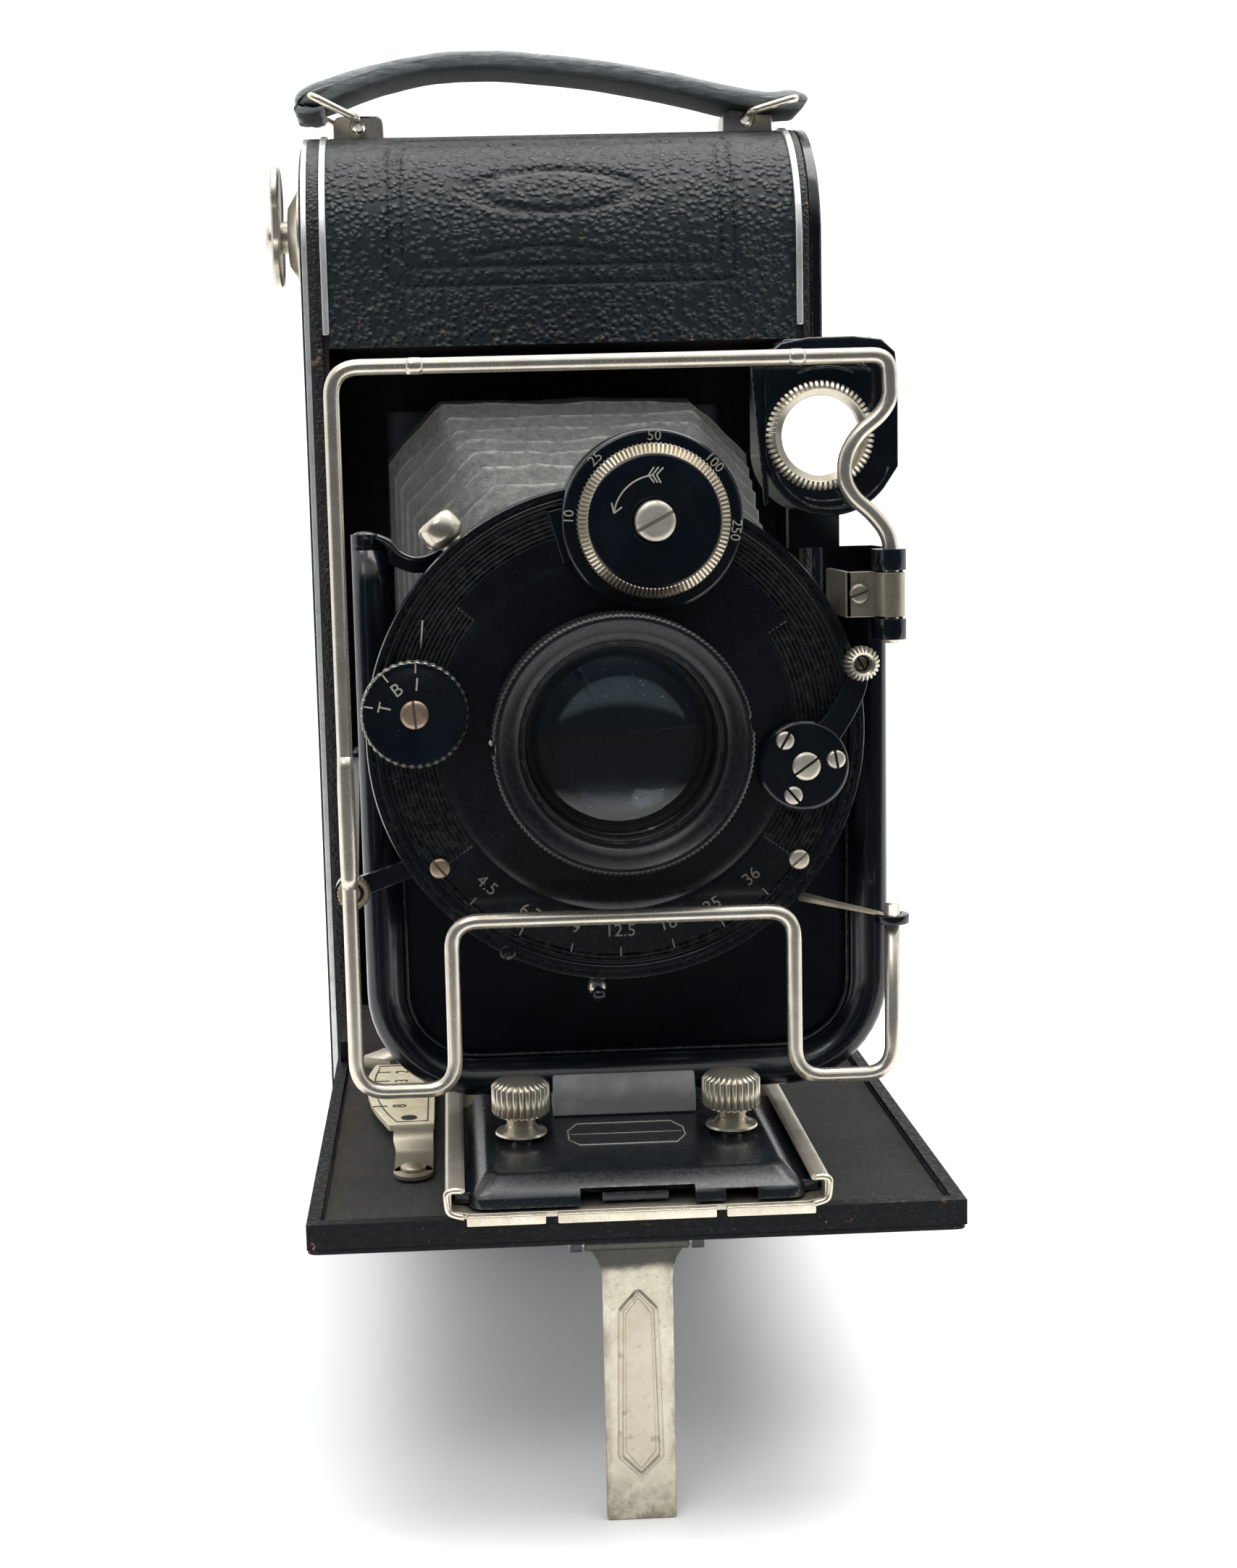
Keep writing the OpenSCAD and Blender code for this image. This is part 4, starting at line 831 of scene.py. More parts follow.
def embossing(x, t):
    """Height of the tooled lines; t runs up the leather from the opening's upper edge."""
    lines = [box_line(x, t, 26.0, 8.9, 36.5, 2.5), box_line(x, t, 24.0, 11.6, 33.8, 2.0)]
    oval = math.hypot((x + 1.0) / 12.6, (t - 23.4) / 3.9)
    lines.append(abs(oval - 1) * 3.9)
    lines.append(abs(oval - 0.86) * 3.9)
    if abs(x + 2.5) < 11:
        lines.append(abs(t - 14.2 + 0.012 * (x + 2.5) ** 2 - 0.3))
    return -0.34 * sum(math.exp(-(d / 0.36) ** 2) for d in lines)


def leather_cover():
    line = body_line(0.0)
    rings = []
    width = cad("trim_strips")[1].x - 1.05
    for y, z, ny, nz in line:
        front = y < END_R and z > BODY_H / 2
        if z <= ARC_Z:
            t = z - OPEN_HIGH
        else:
            turned = math.radians(180 - math.degrees(math.atan2(z - ARC_Z, y - END_R)))
            t = ARC_Z - OPEN_HIGH + END_R * turned
        ring = []
        for k in range(177):
            x = -width + 2 * width * k / 176
            d = embossing(x, t) if front else 0
            d += 0.05 * noise.noise(Vector((x * 0.13, y * 0.13, z * 0.13)))
            edge = min(width - abs(x), 0.35) / 0.35
            d -= 0.12 * (1 - edge) ** 2
            ring.append((x, y + ny * d, z + nz * d))
        rings.append(ring)
    s = Solid().rings(rings, around=False)
    window = cad("window_glass")
    c = (window[0] + window[1]) / 2
    hole = Solid().turn([(0, -6), (5.0, -6), (5.0, 4), (0, 4)], (c.x, window[1].y, c.z), n=48)
    return emit("body_leather_cover", s, "body", "leather", "body_leather", thick=0.42, cut=hole)


def leather_strip(name, x0, x1):
    """Narrow strip of leather round the whole body beside a trim."""
    section = [(x0, 0.45), (x0, 0.08), (x0 + 0.15, -0.01), (x1 - 0.15, -0.01), (x1, 0.08), (x1, 0.45)]
    rings = []
    for x, inset in section:
        rings.append([(x, y, z) for y, z, _, _ in body_line(inset, 48, "loop")])
    s = Solid().rings(rings, loop=True, caps=False)
    return emit(name, s, "body", "leather_edge", crisp=False)


leather_cover()
trim_low, trim_high = cad("trim_strips")
leather_strip("edge_leather_left", cad("side_plate_left")[1].x + 0.02, trim_low.x - 0.02)
leather_strip("edge_leather_right", trim_high.x + 0.02, cad("body_leather")[1].x)


def lugs():
    for name, side in (("handle_lug_left", -1), ("handle_lug_right", 1)):
        x0, x1 = sorted((side * 26.6, side * 34.4))
        outline = fillet([(x0, 169.3), (x1, 169.3), (x1, 173.1), (x0, 173.1)], [0, 0, 1.5, 1.5])
        s = Solid().prism(outline, "y", 15.9, 22.1)
        hole = Solid().turn([(0, -9), (1.15, -9), (1.15, 9), (0, 9)], (side * 30.5, 19.0, 171.6), n=32)
        emit(name, s, "body", "nickel", "handle_lugs", bevel=0.6, segments=4, cut=hole)


lugs()


def side_leather(node, body):
    low_, high_ = cad(node)
    outline = [(y, z) for y, z, _, _ in body_line(1.2, 60, "loop")]
    s = Solid().prism(outline, "x", low_.x, high_.x)
    hole = None
    if low_.x < 0:
        key, button = middle("key_collar"), middle("bed_button")
        hole = Solid().turn([(0, -3), (7.3, -3), (7.3, 3), (0, 3)], (low_.x, key.y, key.z), axis="x", n=48)
        hole.turn([(0, -3), (2.3, -3), (2.3, 3), (0, 3)], (low_.x, button.y, button.z), axis="x", n=32)
    emit(node + "_skin", s, body, "leather", node, bevel=0.14, cut=hole)


side_leather("side_leather_left", "body")
side_leather("side_leather_right", "film_carrier")


# ---- handle
RIGHT_DROP = 2.4


def strap():
    low_, high_ = cad("handle_strap")
    mid_y, half = (low_.y + high_.y) / 2, (high_.y - low_.y) / 2
    end_z = cad("handle_loop_left")[1].z - 0.6
    x_l, x_r = low_.x, high_.x
    drop = RIGHT_DROP
    top = [(x_l + 0.05, end_z - 1.7, 1.9), (x_l + 0.7, end_z - 0.8, 3.0), (x_l + 2.6, end_z - 0.2, 4.0),
           (-34.5, 176.7, 4.0), (-30.2, 178.1, 3.6), (-25.0, 179.4, 3.2), (-18.0, 180.6, 3.0),
           (-10.0, 180.8, 3.0), (-2.0, 180.2, 3.0), (8.0, 178.9, 3.0), (18.0, 177.0, 3.1),
           (27.0, 174.9, 3.2), (x_r - 6.5, 173.8, 3.3), (x_r - 2.6, end_z + 0.1 - drop, 3.4),
           (x_r - 0.8, end_z - 0.1 - drop, 2.9), (x_r - 0.05, end_z - 0.5 - drop, 1.9)]
    path = smooth([Vector((x, 0, z)) for x, z, _ in top], 5)
    size = smooth([Vector((t, 0, 0)) for _, _, t in top], 5)
    rings = []
    for i, p in enumerate(path):
        d = (path[min(i + 1, len(path) - 1)] - path[max(i - 1, 0)]).normalized()
        up = Vector((-d.z, 0, d.x))
        thick = size[i].x / 2
        near_end = min(1.0, min(p.x - x_l, x_r - p.x) / 7.0)
        wide = half * (0.90 + 0.09 * near_end)
        ring = []
        for k in range(40):
            a = 2 * math.pi * k / 40
            c, s_ = math.cos(a), math.sin(a)
            u = wide * math.copysign(abs(c) ** 0.42, c)
            v = thick * math.copysign(abs(s_) ** (0.62 if s_ > 0 else 0.8), s_)
            crease = (0.10 * noise.noise(Vector((p.x * 0.35, u * 0.3, s_ * 2)))
                      + 0.05 * noise.noise(Vector((p.x * 1.3, u, s_ * 4))))
            ring.append(p + Vector((0, mid_y + u * (1 + 0.012 * math.sin(p.x * 0.7)), 0))
                        + up * (v + crease))
        rings.append(ring)
    s = Solid().rings(rings)
    emit("handle_strap_leather", s, "handle_strap", "strap", "handle_strap", subdivide=1, crisp=False)
    outer = smooth([(x_l + 0.9, 0, end_z - 0.6), (x_l - 0.25, 0, end_z - 1.5),
                    (x_l - 0.75, 0, end_z - 2.5), (x_l + 0.1, 0, end_z - 3.0), (x_l + 1.7, 0, end_z - 3.1),
                    (x_l + 3.3, 0, end_z - 2.9)], 4)
    back_ = [p + Vector((0.55, 0, 0.75)) for p in outer[::-1]]
    edge_rings = []
    for k in range(15):
        y = mid_y + half * (-0.92 + 1.84 * k / 14)
        edge_rings.append([Vector((p.x, y, p.z))
                           + Vector((0.25, 0, 0.3)) * noise.noise(Vector((p.x * 0.8, y * 0.7, p.z)))
                           for p in outer + back_])
    tail = Solid().rings(edge_rings)
    emit("handle_strap_tail", tail, "handle_strap", "strap", crisp=False)
    # Stitched edge welts and the frayed flap at the left end
    welt = Solid()
    for side in (-1, 1):
        pts = [p + Vector((0, mid_y + side * half * 0.93, 0)) + Vector((0, 0, size[i].x * 0.08))
               for i, p in enumerate(path[8:-6])]
        welt.tube(pts, 0.42, 8)
    emit("handle_strap_welts", welt, "handle_strap", "strap", crisp=False)
    rng = random.Random(4)
    fray = Solid()
    for k in range(26):
        y = mid_y - half * 0.8 + 1.6 * half * k / 25
        length = 0.5 + 0.7 * rng.random()
        a = Vector((x_l + 0.9, y, end_z - 1.3 + 0.3 * rng.random()))
        b = a + Vector((-0.25 - 0.3 * rng.random(), rng.uniform(-0.5, 0.5), -length * 0.5))
        fray.tube([a, (a + b) / 2 + Vector((0.1, 0, 0)), b], [0.22, 0.16, 0.05], 6)
    emit("handle_strap_fray", fray, "handle_strap", "strap", crisp=False)


def loop(side):
    node = "handle_loop_" + side
    low_, high_ = cad(node)
    s = -1 if side == "left" else 1
    r = 0.6
    x_lug = (high_.x - r) if s < 0 else (low_.x + r)
    x_bar = (low_.x + r) if s < 0 else (high_.x - r)
    y0, y1, z0, z1 = low_.y + r, high_.y - r, low_.z + r, high_.z - r - (RIGHT_DROP if s > 0 else 0.7)
    z0 -= 0.3
    corners = [(x_lug, (y0 + y1) / 2, z0), (x_lug, y0, z0), (x_bar, y0, z1), (x_bar, y1, z1),
               (x_lug, y1, z0), (x_lug, (y0 + y1) / 2 + 0.01, z0)]
    path = fillet(corners, [0, 1.5, 1.5, 1.5, 1.5, 0], n=6, closed=False)
    emit(node + "_wire", Solid().tube(path, 0.58, 14), node, "nickel_bright", node, crisp=False)


strap()
loop("left")
loop("right")


# ---- winding key
def winding_key():
    axis = middle("take_up_spool")
    x = cad("winding_key")[0].x + 1.1
    y, z = axis.y, axis.z + 1.6
    outline = arc(y, z + 4.35, 5.0, -28, 208, 26) + arc(y, z - 4.35, 5.0, 152, 388, 26)
    inner = [((p[0] - y) * 0.80 + y, (p[1] - z) * 0.88 + z) for p in outline]
    rim = [((p[0] - y) * 0.93 + y, (p[1] - z) * 0.955 + z) for p in outline]
    s = Solid().rings([[(d, *p) for p in o] for o, d in ((inner, x + 0.35), (rim, x + 0.0),
            (outline, x + 0.35), (outline, x + 1.15), (rim, x + 1.5), (inner, x + 1.2))])
    s.turn([(0, -1.1), (1.2, -1.1), (1.9, -0.8), (2.2, -0.3), (2.2, 0.6)], (x, axis.y, axis.z), axis="x",
           n=40)
    s.turn([(2.5, 1.0), (2.5, 10.8), (0, 10.8)], (x, axis.y, axis.z), axis="x", n=40)
    s.box((-35.0, axis.y - 0.55, axis.z - 2.3), (-31.0, axis.y + 0.55, axis.z + 2.3))
    emit("winding_key_grip", s, "winding_key", "nickel", "winding_key", bevel=0.1)


winding_key()


# ---- bed
def bed():
    half = cad("bed_plate")[1].x
    # Leather underneath, turned up over the edges
    base = cad("bed_leather")
    s = Solid().prism(fillet([(-half, base[0].y), (half, base[0].y), (half, base[1].y),
                              (-half, base[1].y)], [1.2, 1.2, 0.2, 0.2]), "z", base[0].z, base[1].z)
    bush = middle("tripod_bush")
    hole = Solid().turn([(0, -4), (5.65, -4), (5.65, 4), (0, 4)], (bush.x, bush.y, base[0].z), axis="z",
                        n=48)
    emit("bed_leather_skin", s, "body", "leather_bed", "bed_leather", bevel=0.2, cut=hole)
    # Cloth lining, turned up at the rim
    lining = cad("bed_lining")
    xs = [lining[0].x + (lining[1].x - lining[0].x) * k / 120 for k in range(121)]
    ys = [lining[0].y + (lining[1].y - lining[0].y) * k / 150 for k in range(151)]

    def point(u, v):
        x, y = xs[round(u * 120)], ys[round(v * 150)]
        z = lining[1].z - 0.03 + 0.035 * noise.noise(Vector((x * 0.12, y * 0.12, 0)))
        edge = min(x - lining[0].x, lining[1].x - x, y - lining[0].y)
        return (x, y, z + 0.14 * math.exp(-(edge / 0.9) ** 2))

    s = Solid().grid(point, 120, 150)
    emit("bed_cloth_lining", s, "body", "cloth", "bed_lining", thick=0.2, crisp=False)
    # Rolled inner edge of the rim
    inner = [(lining[0].x - 0.1, lining[1].y + 1), (lining[0].x - 0.1, lining[0].y - 0.1),
             (lining[1].x + 0.1, lining[0].y - 0.1), (lining[1].x + 0.1, lining[1].y + 1)]
    path = [(*p, lining[1].z + 0.25) for p in fillet(inner, [0, 0.6, 0.6, 0], closed=False)]
    emit("bed_rim_bead", Solid().tube(path, 0.28, 10), "body", "enamel_worn", crisp=False)


bed()


# ---- leg
def leg():
    low_, high_ = cad("leg")
    y_mid = (low_.y + high_.y) / 2
    y0, y1 = y_mid - 0.6, y_mid + 0.6
    top = high_.z - 1.0
    half = 3.9
    side = [(-half, 0), (-half, top - 4.3)] + [(-half - 0.1, top - 3.2), (-half - 0.5, top - 1.9),
            (-half - 1.1, top - 1.0), (-5.8, top - 0.55), (-5.8, top)]
    outline = side + [(-x, z) for x, z in side[::-1]]
    s = Solid().prism(outline, "y", y0, y1)
    s.turn([(0, 0), (1.0, 0), (1.0, 11.6), (0, 11.6)], (-5.8, y_mid, top), axis="x", n=32)
    emit("leg_plate", s, "leg", "leg_plate", "leg", bevel=0.22, segments=3)
    # Raised outline of the long hexagon
    hexagon = [(0, 26.7), (1.95, 24.6), (2.3, 7.5), (0, 5.2), (-2.3, 7.5), (-1.95, 24.6)]
    pts = fillet([(x, y0 - 0.03, z) for x, z in hexagon], 0.35)
    bead = Solid().tube(pts + pts[:2], 0.30, 8)
    inner = fillet([(x * 0.72, y0 - 0.02, 16 + (z - 16) * 0.93) for x, z in hexagon], 0.3)
    bead.tube(inner + inner[:2], 0.07, 6)
    panel = Solid().prism([(x * 0.9, 16 + (z - 16) * 0.975) for x, z in hexagon], "y", y0 - 0.03, y0 + 0.2)
    emit("leg_panel", panel, "leg", "nickel_leg")
    emit("leg_cartouche", bead, "leg", "nickel_leg", crisp=False)


leg()


# ---- focusing
def focusing():
    scale = cad("focus_scale")
    top = scale[1].z
    lever = Vector((-4, -60))
    # Ivory plate: bowed outside, straight towards the track
    x_in = scale[1].x - 0.1
    bow = smooth([(-30.3, -45.6, 0), (-31.1, -51.0, 0), (-30.9, -58.0, 0), (-29.9, -64.6, 0),
                  (-27.8, -72.2, 0)], 6)
    plate = [(p.x, p.y) for p in bow]
    y_hi, y_lo = -45.6, -72.2
    s = Solid().prism([(x_in, y_hi), *plate, (x_in, y_lo)], "z", top - 0.85, top)
    emit("focus_scale_plate", s, "body", "ivory", "focus_scale", bevel=0.1)
    strip = [(-71.0, top - 0.45), (-74.6, top - 0.45), (-75.6, top - 0.75), (-77.6, top - 1.9),
             (-78.6, top - 2.05), (-84.2, top - 2.05)]
    path = fillet([(0, y, z) for y, z in strip], [0, 0.6, 0.6, 0.5, 0.5, 0], n=4, closed=False)
    rings = []
    for _, y, z in path:
        left = -27.2 if y > -76.5 else -26.9
        rings.append([(left, y, z - 0.25), (x_in - 0.1, y, z - 0.25), (x_in - 0.1, y, z + 0.25),
                      (left, y, z + 0.25)])
    s = Solid().rings(rings)
    s.turn([(0, -0.25), (2.3, -0.25), (2.3, 0.25), (0, 0.25)], (-24.7, -84.2, top - 2.05), axis="z", n=40)
    s.turn([(0, 0.7), (1.0, 0.65), (1.45, 0.4), (1.5, 0.1), (1.5, 0), (0, 0)], (-24.7, -83.8, top - 1.8),
           axis="z", n=40)
    emit("scale_bracket_strip", s, "body", "nickel_dull", "scale_bracket", bevel=0.1)
    ink = Solid()
    z = top + 0.02
    inner = [(p[0] + 1.0, p[1]) for p in plate[3:-3]]
    border = [(x_in - 0.8, y_hi - 0.9), (inner[0][0], y_hi - 0.9), *inner, (-26.9, y_lo + 1.0),
              (x_in - 0.8, y_lo + 1.0)]
    pts = [(x, y, z) for x, y in border]
    ink.tube(pts + pts[:2], 0.09, 6)
    for words, y in (("2", -49.4), ("3", -53.6), ("5", -58.6), ("8", -64.6)):
        ink.text(words, 2.5, Matrix.Translation((-26.6, y, z)) @ Matrix.Rotation(math.radians(90), 4, "Z"),
                 0.03)
        ink.tube([(-30.0, y, z), (-28.2, y, z)], 0.09, 6)
    ink.turn([(0, -0.1), (1.0, -0.1), (1.0, 0.02), (0, 0.02)], (-25.4, -69.6, z), axis="z", n=24)
    emit("focus_scale_marks", ink, "body", "ink", weld=0)
    # Knurled end of the lever
    handle = cad("focus_lever")
    rest = math.radians(143)
    c = lever + Vector((math.cos(rest), math.sin(rest))) * 31.1
    teeth = Solid()
    for k in range(9):
        t = -2.2 + 4.4 * k / 8
        p = c + Vector((-math.sin(rest), math.cos(rest))) * t
        d = Vector((math.cos(rest), math.sin(rest))) * 2.1
        teeth.tube([(p.x - d.x, p.y - d.y, handle[1].z), (p.x + d.x, p.y + d.y, handle[1].z)], 0.22, 8)
    emit("focus_lever_ribs", teeth, "focus_lever", "nickel", crisp=False)
    # Track
    t_low, t_high = cad("track")
    z0, half, front = t_low.z + 0.9, t_high.x, t_low.y
    right = [(0, z0), (18.4, z0), (20.6, z0 + 0.5), (half, z0 + 1.1), (half, z0 + 3.1),
             (half - 0.25, z0 + 3.5), (half - 0.8, z0 + 3.62), (19.1, z0 + 3.62), (18.75, z0 + 3.4),
             (18.75, z0 + 3.1), (19.1, z0 + 2.9), (20.15, z0 + 2.9), (20.25, z0 + 2.7), (20.25, z0 + 1.35),
             (20.1, z0 + 1.0), (18.2, z0 + 0.65), (0, z0 + 0.65)]
    outline = right + [(-x, z) for x, z in right[1:-1][::-1]]
    s = Solid().prism(outline, "y", front + 0.55, t_high.y)
    emit("track_channel", s, "track", "nickel", "track", bevel=0.1)
    lip = Solid()
    for x0, x1 in ((-18.65, -10.1), (-8.8, 8.4), (9.5, 19.2)):
        lip.prism(fillet([(x0, z0 - 0.62), (x1, z0 - 0.62), (x1, z0 + 0.5), (x0, z0 + 0.5)], 0.2), "y",
                  front, front + 0.75)
    emit("track_front_lip", lip, "track", "nickel_bright", bevel=0.14)
    # Curled ends of the channel
    curl = Solid()
    for s_ in (-1, 1):
        path = smooth([(s_ * x, front + 0.5, z) for x, z in ((18.9, z0 + 0.3), (20.4, z0 + 0.8),
                (half - 0.15, z0 + 1.7), (half - 0.15, z0 + 3.0), (half - 0.9, z0 + 3.35),
                (19.2, z0 + 3.3))], 4)
        curl.tube(path, 0.36, 10)
    emit("track_front_edge", curl, "track", "nickel_bright", crisp=False)


def carriage():
    c_low, c_high = cad("carriage")
    deck, front, back, base = c_high.z, c_low.y, c_high.y, c_low.z

    def plan(half, y0, y1, r):
        return fillet([(-half, y0), (half, y0), (half, y1), (-half, y1)], [r, r, 0.3, 0.3], n=6)

    levels = [(18.4, front, back, 2.2, base), (18.35, front + 0.05, back, 2.2, base + 0.9),
              (18.1, front + 0.3, back, 2.2, base + 1.35), (17.6, front + 0.9, back, 2.2, base + 1.75),
              (16.5, front + 2.5, back, 2.0, deck - 0.2), (15.9, front + 3.3, back, 1.7, deck - 0.03),
              (15.6, front + 3.8, back, 1.6, deck), (15.2, front + 4.6, back, 1.2, deck)]
    s = Solid().rings([[(*p, z) for p in plan(h, y0, y1, r)] for h, y0, y1, r, z in levels])
    cut = Solid().box((-6.3, front - 1, base - 1), (6.2, front + 4.2, base + 1.7))
    cut.box((9.5, front - 1, base - 1), (13.0, front + 3.6, base + 1.25))
    for s_ in (-1, 1):
        cut.box((s_ * 11.5 - 1.95, -88.4, deck - 1.2), (s_ * 11.5 + 1.95, -85.6, deck + 1))
    emit("carriage_cover", s, "standard", "enamel_satin", "carriage", bevel=0.16, cut=cut)
    wings = Solid()
    for s_ in (-1, 1):
        wings.box((min(s_ * 17.4, s_ * 19.9), front + 2.2, base),
                  (max(s_ * 17.4, s_ * 19.9), back, base + 1.2))
    wings.box((-3.9, front + 1.2, base), (3.4, front + 1.6, base + 1.0))
    emit("carriage_wings", wings, "standard", "enamel_worn", bevel=0.12)
    # Blank name plate: an octagon of fine lines
    half_x, half_y, y_c = 6.7, 3.9, -86.2
    octagon = [(-half_x, y_c - 1.9), (-half_x + 1.2, y_c - half_y), (half_x - 1.2, y_c - half_y),
               (half_x, y_c - 1.4), (half_x, y_c + 1.4), (half_x - 1.2, y_c + half_y),
               (-half_x + 1.2, y_c + half_y), (-half_x, y_c + 1.4)]
    pts = [(x, y, deck + 0.01) for x, y in octagon]
    plate = Solid().tube(pts + pts[:2], 0.10, 6)
    plate.tube([(-half_x + 0.3, y_c, deck + 0.01), (half_x - 0.3, y_c, deck + 0.01)], 0.07, 6)
    emit("carriage_plate_lines", plate, "standard", "marks", crisp=False)


def grip(side):
    node = "grip_" + side
    c = middle(node)
    z = cad(node)[1].z + 0.55
    teeth = 26

    profile = [(0, z), (1.6, z - 0.10), (2.7, z - 0.42), (3.12, z - 0.75), (3.3, z - 1.0), (3.3, z - 3.9),
               (3.05, z - 4.25), (2.4, z - 4.45), (1.75, z - 4.9), (1.6, z - 5.5), (2.0, z - 6.05),
               (2.9, z - 6.25), (3.0, z - 6.5), (2.7, z - 6.72), (1.2, z - 6.75), (1.2, z - 8.6),
               (0, z - 8.6)]
    s = Solid().turn(profile, (c.x, c.y, 0), axis="z", n=teeth * 8,
                     ripple=ribs(teeth, 0.42, (3, 4, 5, 6), 0.7, 0.9))
    emit(node + "_knob", s, node, "nickel_knob", node, angle=50)


focusing()
carriage()
grip("left")
grip("right")


# ---- standard
S_LOW, S_HIGH = cad("standard_frame")
PANEL_Y = S_HIGH.y - 1.4


def u_line(inset, top_left, top_right):
    """The standard's outline as an open line, moved inward."""
    x0, x1, z0, r = S_LOW.x + inset, S_HIGH.x - inset, 43.2 + inset, 13 - inset
    return ([(x0, top_left + (z0 + r - top_left) * k / 10) for k in range(10)]
            + arc(x0 + r, z0 + r, r, 180, 270, 12) + [(x0 + r + (x1 - x0 - 2 * r) * k / 12, z0)
                    for k in range(1, 12)] + arc(x1 - r, z0 + r, r, 270, 360, 12)
                    + [(x1, z0 + r + (top_right - z0 - r) * k / 10) for k in range(1, 11)])


def standard():
    y = PANEL_Y
    section = [(0.0, y + 1.4), (0.0, y - 1.3), (0.25, y - 2.2), (0.8, y - 2.9), (1.5, y - 3.15),
               (2.3, y - 3.05), (3.2, y - 2.5), (4.1, y - 1.5), (4.45, y - 0.9), (4.75, y - 0.75),
               (4.9, y + 0.0), (4.9, y + 1.0)]
    rings = [[(x, d, z) for x, z in u_line(n, 108.4, 104.0)] for n, d in section]
    s = Solid().rings(rings, around=False)
    for side in (0, -1):
        s.face(s.verts([r[side] for r in rings])[::1 if side else -1])
    emit("standard_lip", s, "standard", "enamel", "standard_frame", crisp=False)
    # Panel behind the shutter
    s = Solid().prism(u_line(4.0, 94.0, 100.0), "y", y - 0.02, y + 1.38)
    hole = Solid().turn([(0, -5), (19, -5), (19, 5), (0, 5)], (LENS.x, y, LENS.z), n=64)
    emit("standard_panel", s, "standard", "enamel_panel", bevel=0.15, cut=hole)
    fold = [(x, y - 0.95, z) for x, z in u_line(4.75, 80.0, 84.0)]
    emit("standard_fold_line", Solid().tube(fold, 0.24, 8), "standard", "enamel_worn", crisp=False)
    # Left arm: rolled post with a rounded top, and the curved rail to the shutter
    x = S_LOW.x
    post = Solid().tube(smooth([(x + 1.6, y - 1.2, 60), (x + 1.6, y - 1.2, 106), (x + 1.6, y - 1.2, 108.6),
                                (x + 1.6, y - 1.1, 110.0), (x + 1.6, y - 1.0, 110.6)], 5),
                                [1.62] * 15 + [1.55, 1.42, 1.2, 0.9, 0.55, 0.2], 18)
    rail = smooth([(x + 3.0, y - 1.2, 109.9), (x + 4.4, y - 1.2, 109.2), (x + 5.6, y - 1.2, 107.9),
                   (x + 7.4, y - 1.2, 107.2), (x + 9.4, y - 1.2, 107.6), (x + 11.5, y - 1.2, 108.9)], 6)
    rings = []
    for i, p in enumerate(rail):
        d = (rail[min(i + 1, len(rail) - 1)] - rail[max(i - 1, 0)]).normalized()
        up = Vector((-d.z, 0, d.x))
        rings.append([p + up * a + Vector((0, b, 0)) for a, b in ((0.15, -1.7), (0.35, -1.5), (0.35, 2.2),
                (0, 2.4), (-1.5, 2.4), (-1.7, 2.2), (-1.6, 0), (-0.2, -0.2), (-0.2, -1.6))])
    post.rings(rings)
    emit("standard_arm", post, "standard", "enamel", bevel=0.12)
    # Foot bar between the grips; its grey finish is a painted highlight
    z0, z1 = 41.05, 46.9
    section = fillet([(y + 1.3, z0), (y + 1.3, z1), (y - 1.6, z1), (y - 4.3, z1 - 2.4), (y - 4.3, z0)],
                     [0, 0.6, 2.2, 2.0, 0.3], n=8)
    foot = Solid().prism(section, "x", -8.0, 8.9)
    emit("standard_foot", foot, "standard", "enamel_bar_painted_highlight", bevel=0.15)
    # Arm and eye for the wire frame's lower end
    ring = [(1.0, -0.5), (1.95, -0.5), (1.95, 0.5), (1.0, 0.5)]
    eye = Solid().turn(ring, (HINGE.x, HINGE.y, 65.6), axis="z", n=40, closed=True)
    emit("wire_eye", eye, "standard", "enamel", bevel=0.08)
    root, end = Vector((21.0, y - 5.0, 66.6)), Vector((29.6, HINGE.y + 0.2, 65.9))
    taper = (root, 1.6, 0.75), (root.lerp(end, 0.5), 1.3, 0.42), (end, 1.0, 0.22)
    leaf = Solid().rings([[(p.x, p.y - w, p.z), (p.x, p.y + w, p.z),
                           (p.x, p.y + w, p.z + t), (p.x, p.y - w, p.z + t)] for p, w, t in taper])
    emit("wire_leaf", leaf, "standard", "nickel_dull", bevel=0.06)


standard()

# ---- shutter
SHUTTER_R = cad("shutter_face")[1].x + 0.1
DIAL = middle("speed_dial")
MODE = middle("mode_dial")


def on_face(x, z, y, turned):
    """Matrix whose XY plane faces the camera at a point of the shutter's front."""
    return Matrix.Translation((x, y, z)) @ Matrix.Rotation(math.radians(90), 4,
            "X") @ Matrix.Rotation(turned, 4, "Z")


def polar(centre, r, degrees):
    return centre.x + r * cosd(degrees), centre.z + r * sind(degrees)


def screw(solid, x, y, z, r, slot_turn, head=0.5, slot=0.28):
    """A domed slotted screw head facing -Y, made as two halves beside the slot."""
    t = math.radians(slot_turn)
    w = slot / 2
    steps = 16
    a0 = math.asin(min(w / r, 0.9))
    for s_ in (0, math.pi):
        half = [(r * math.cos(a0 + (math.pi - 2 * a0) * k / steps + s_),
                 r * math.sin(a0 + (math.pi - 2 * a0) * k / steps + s_)) for k in range(steps + 1)]
        levels = [(1.0, 0), (1.0, -head * 0.55), (0.9, -head * 0.85), (0.72, -head)]
        rings = []
        for k, h in levels:
            ring = []
            for u, v in half:
                v_ = v * k if abs(v) * k > w else math.copysign(w, v)
                u_ = u * k
                ring.append((x + u_ * math.cos(t) - v_ * math.sin(t), y + h, z + u_ * math.sin(t)
                             + v_ * math.cos(t)))
            rings.append(ring)
        solid.rings(rings)
    solid.turn([(0, 0.0), (r, 0.0), (r, 0.05), (0, 0.05)], (x, y, z), n=40)


def screws(name, body, finish, heads, stands_for=()):
    """One piece of screw heads, each (x, y, z, radius, slot angle, height, slot width)."""
    solid = Solid()
    for head in heads:
        screw(solid, *head)
    emit(name, solid, body, finish, stands_for, angle=35)


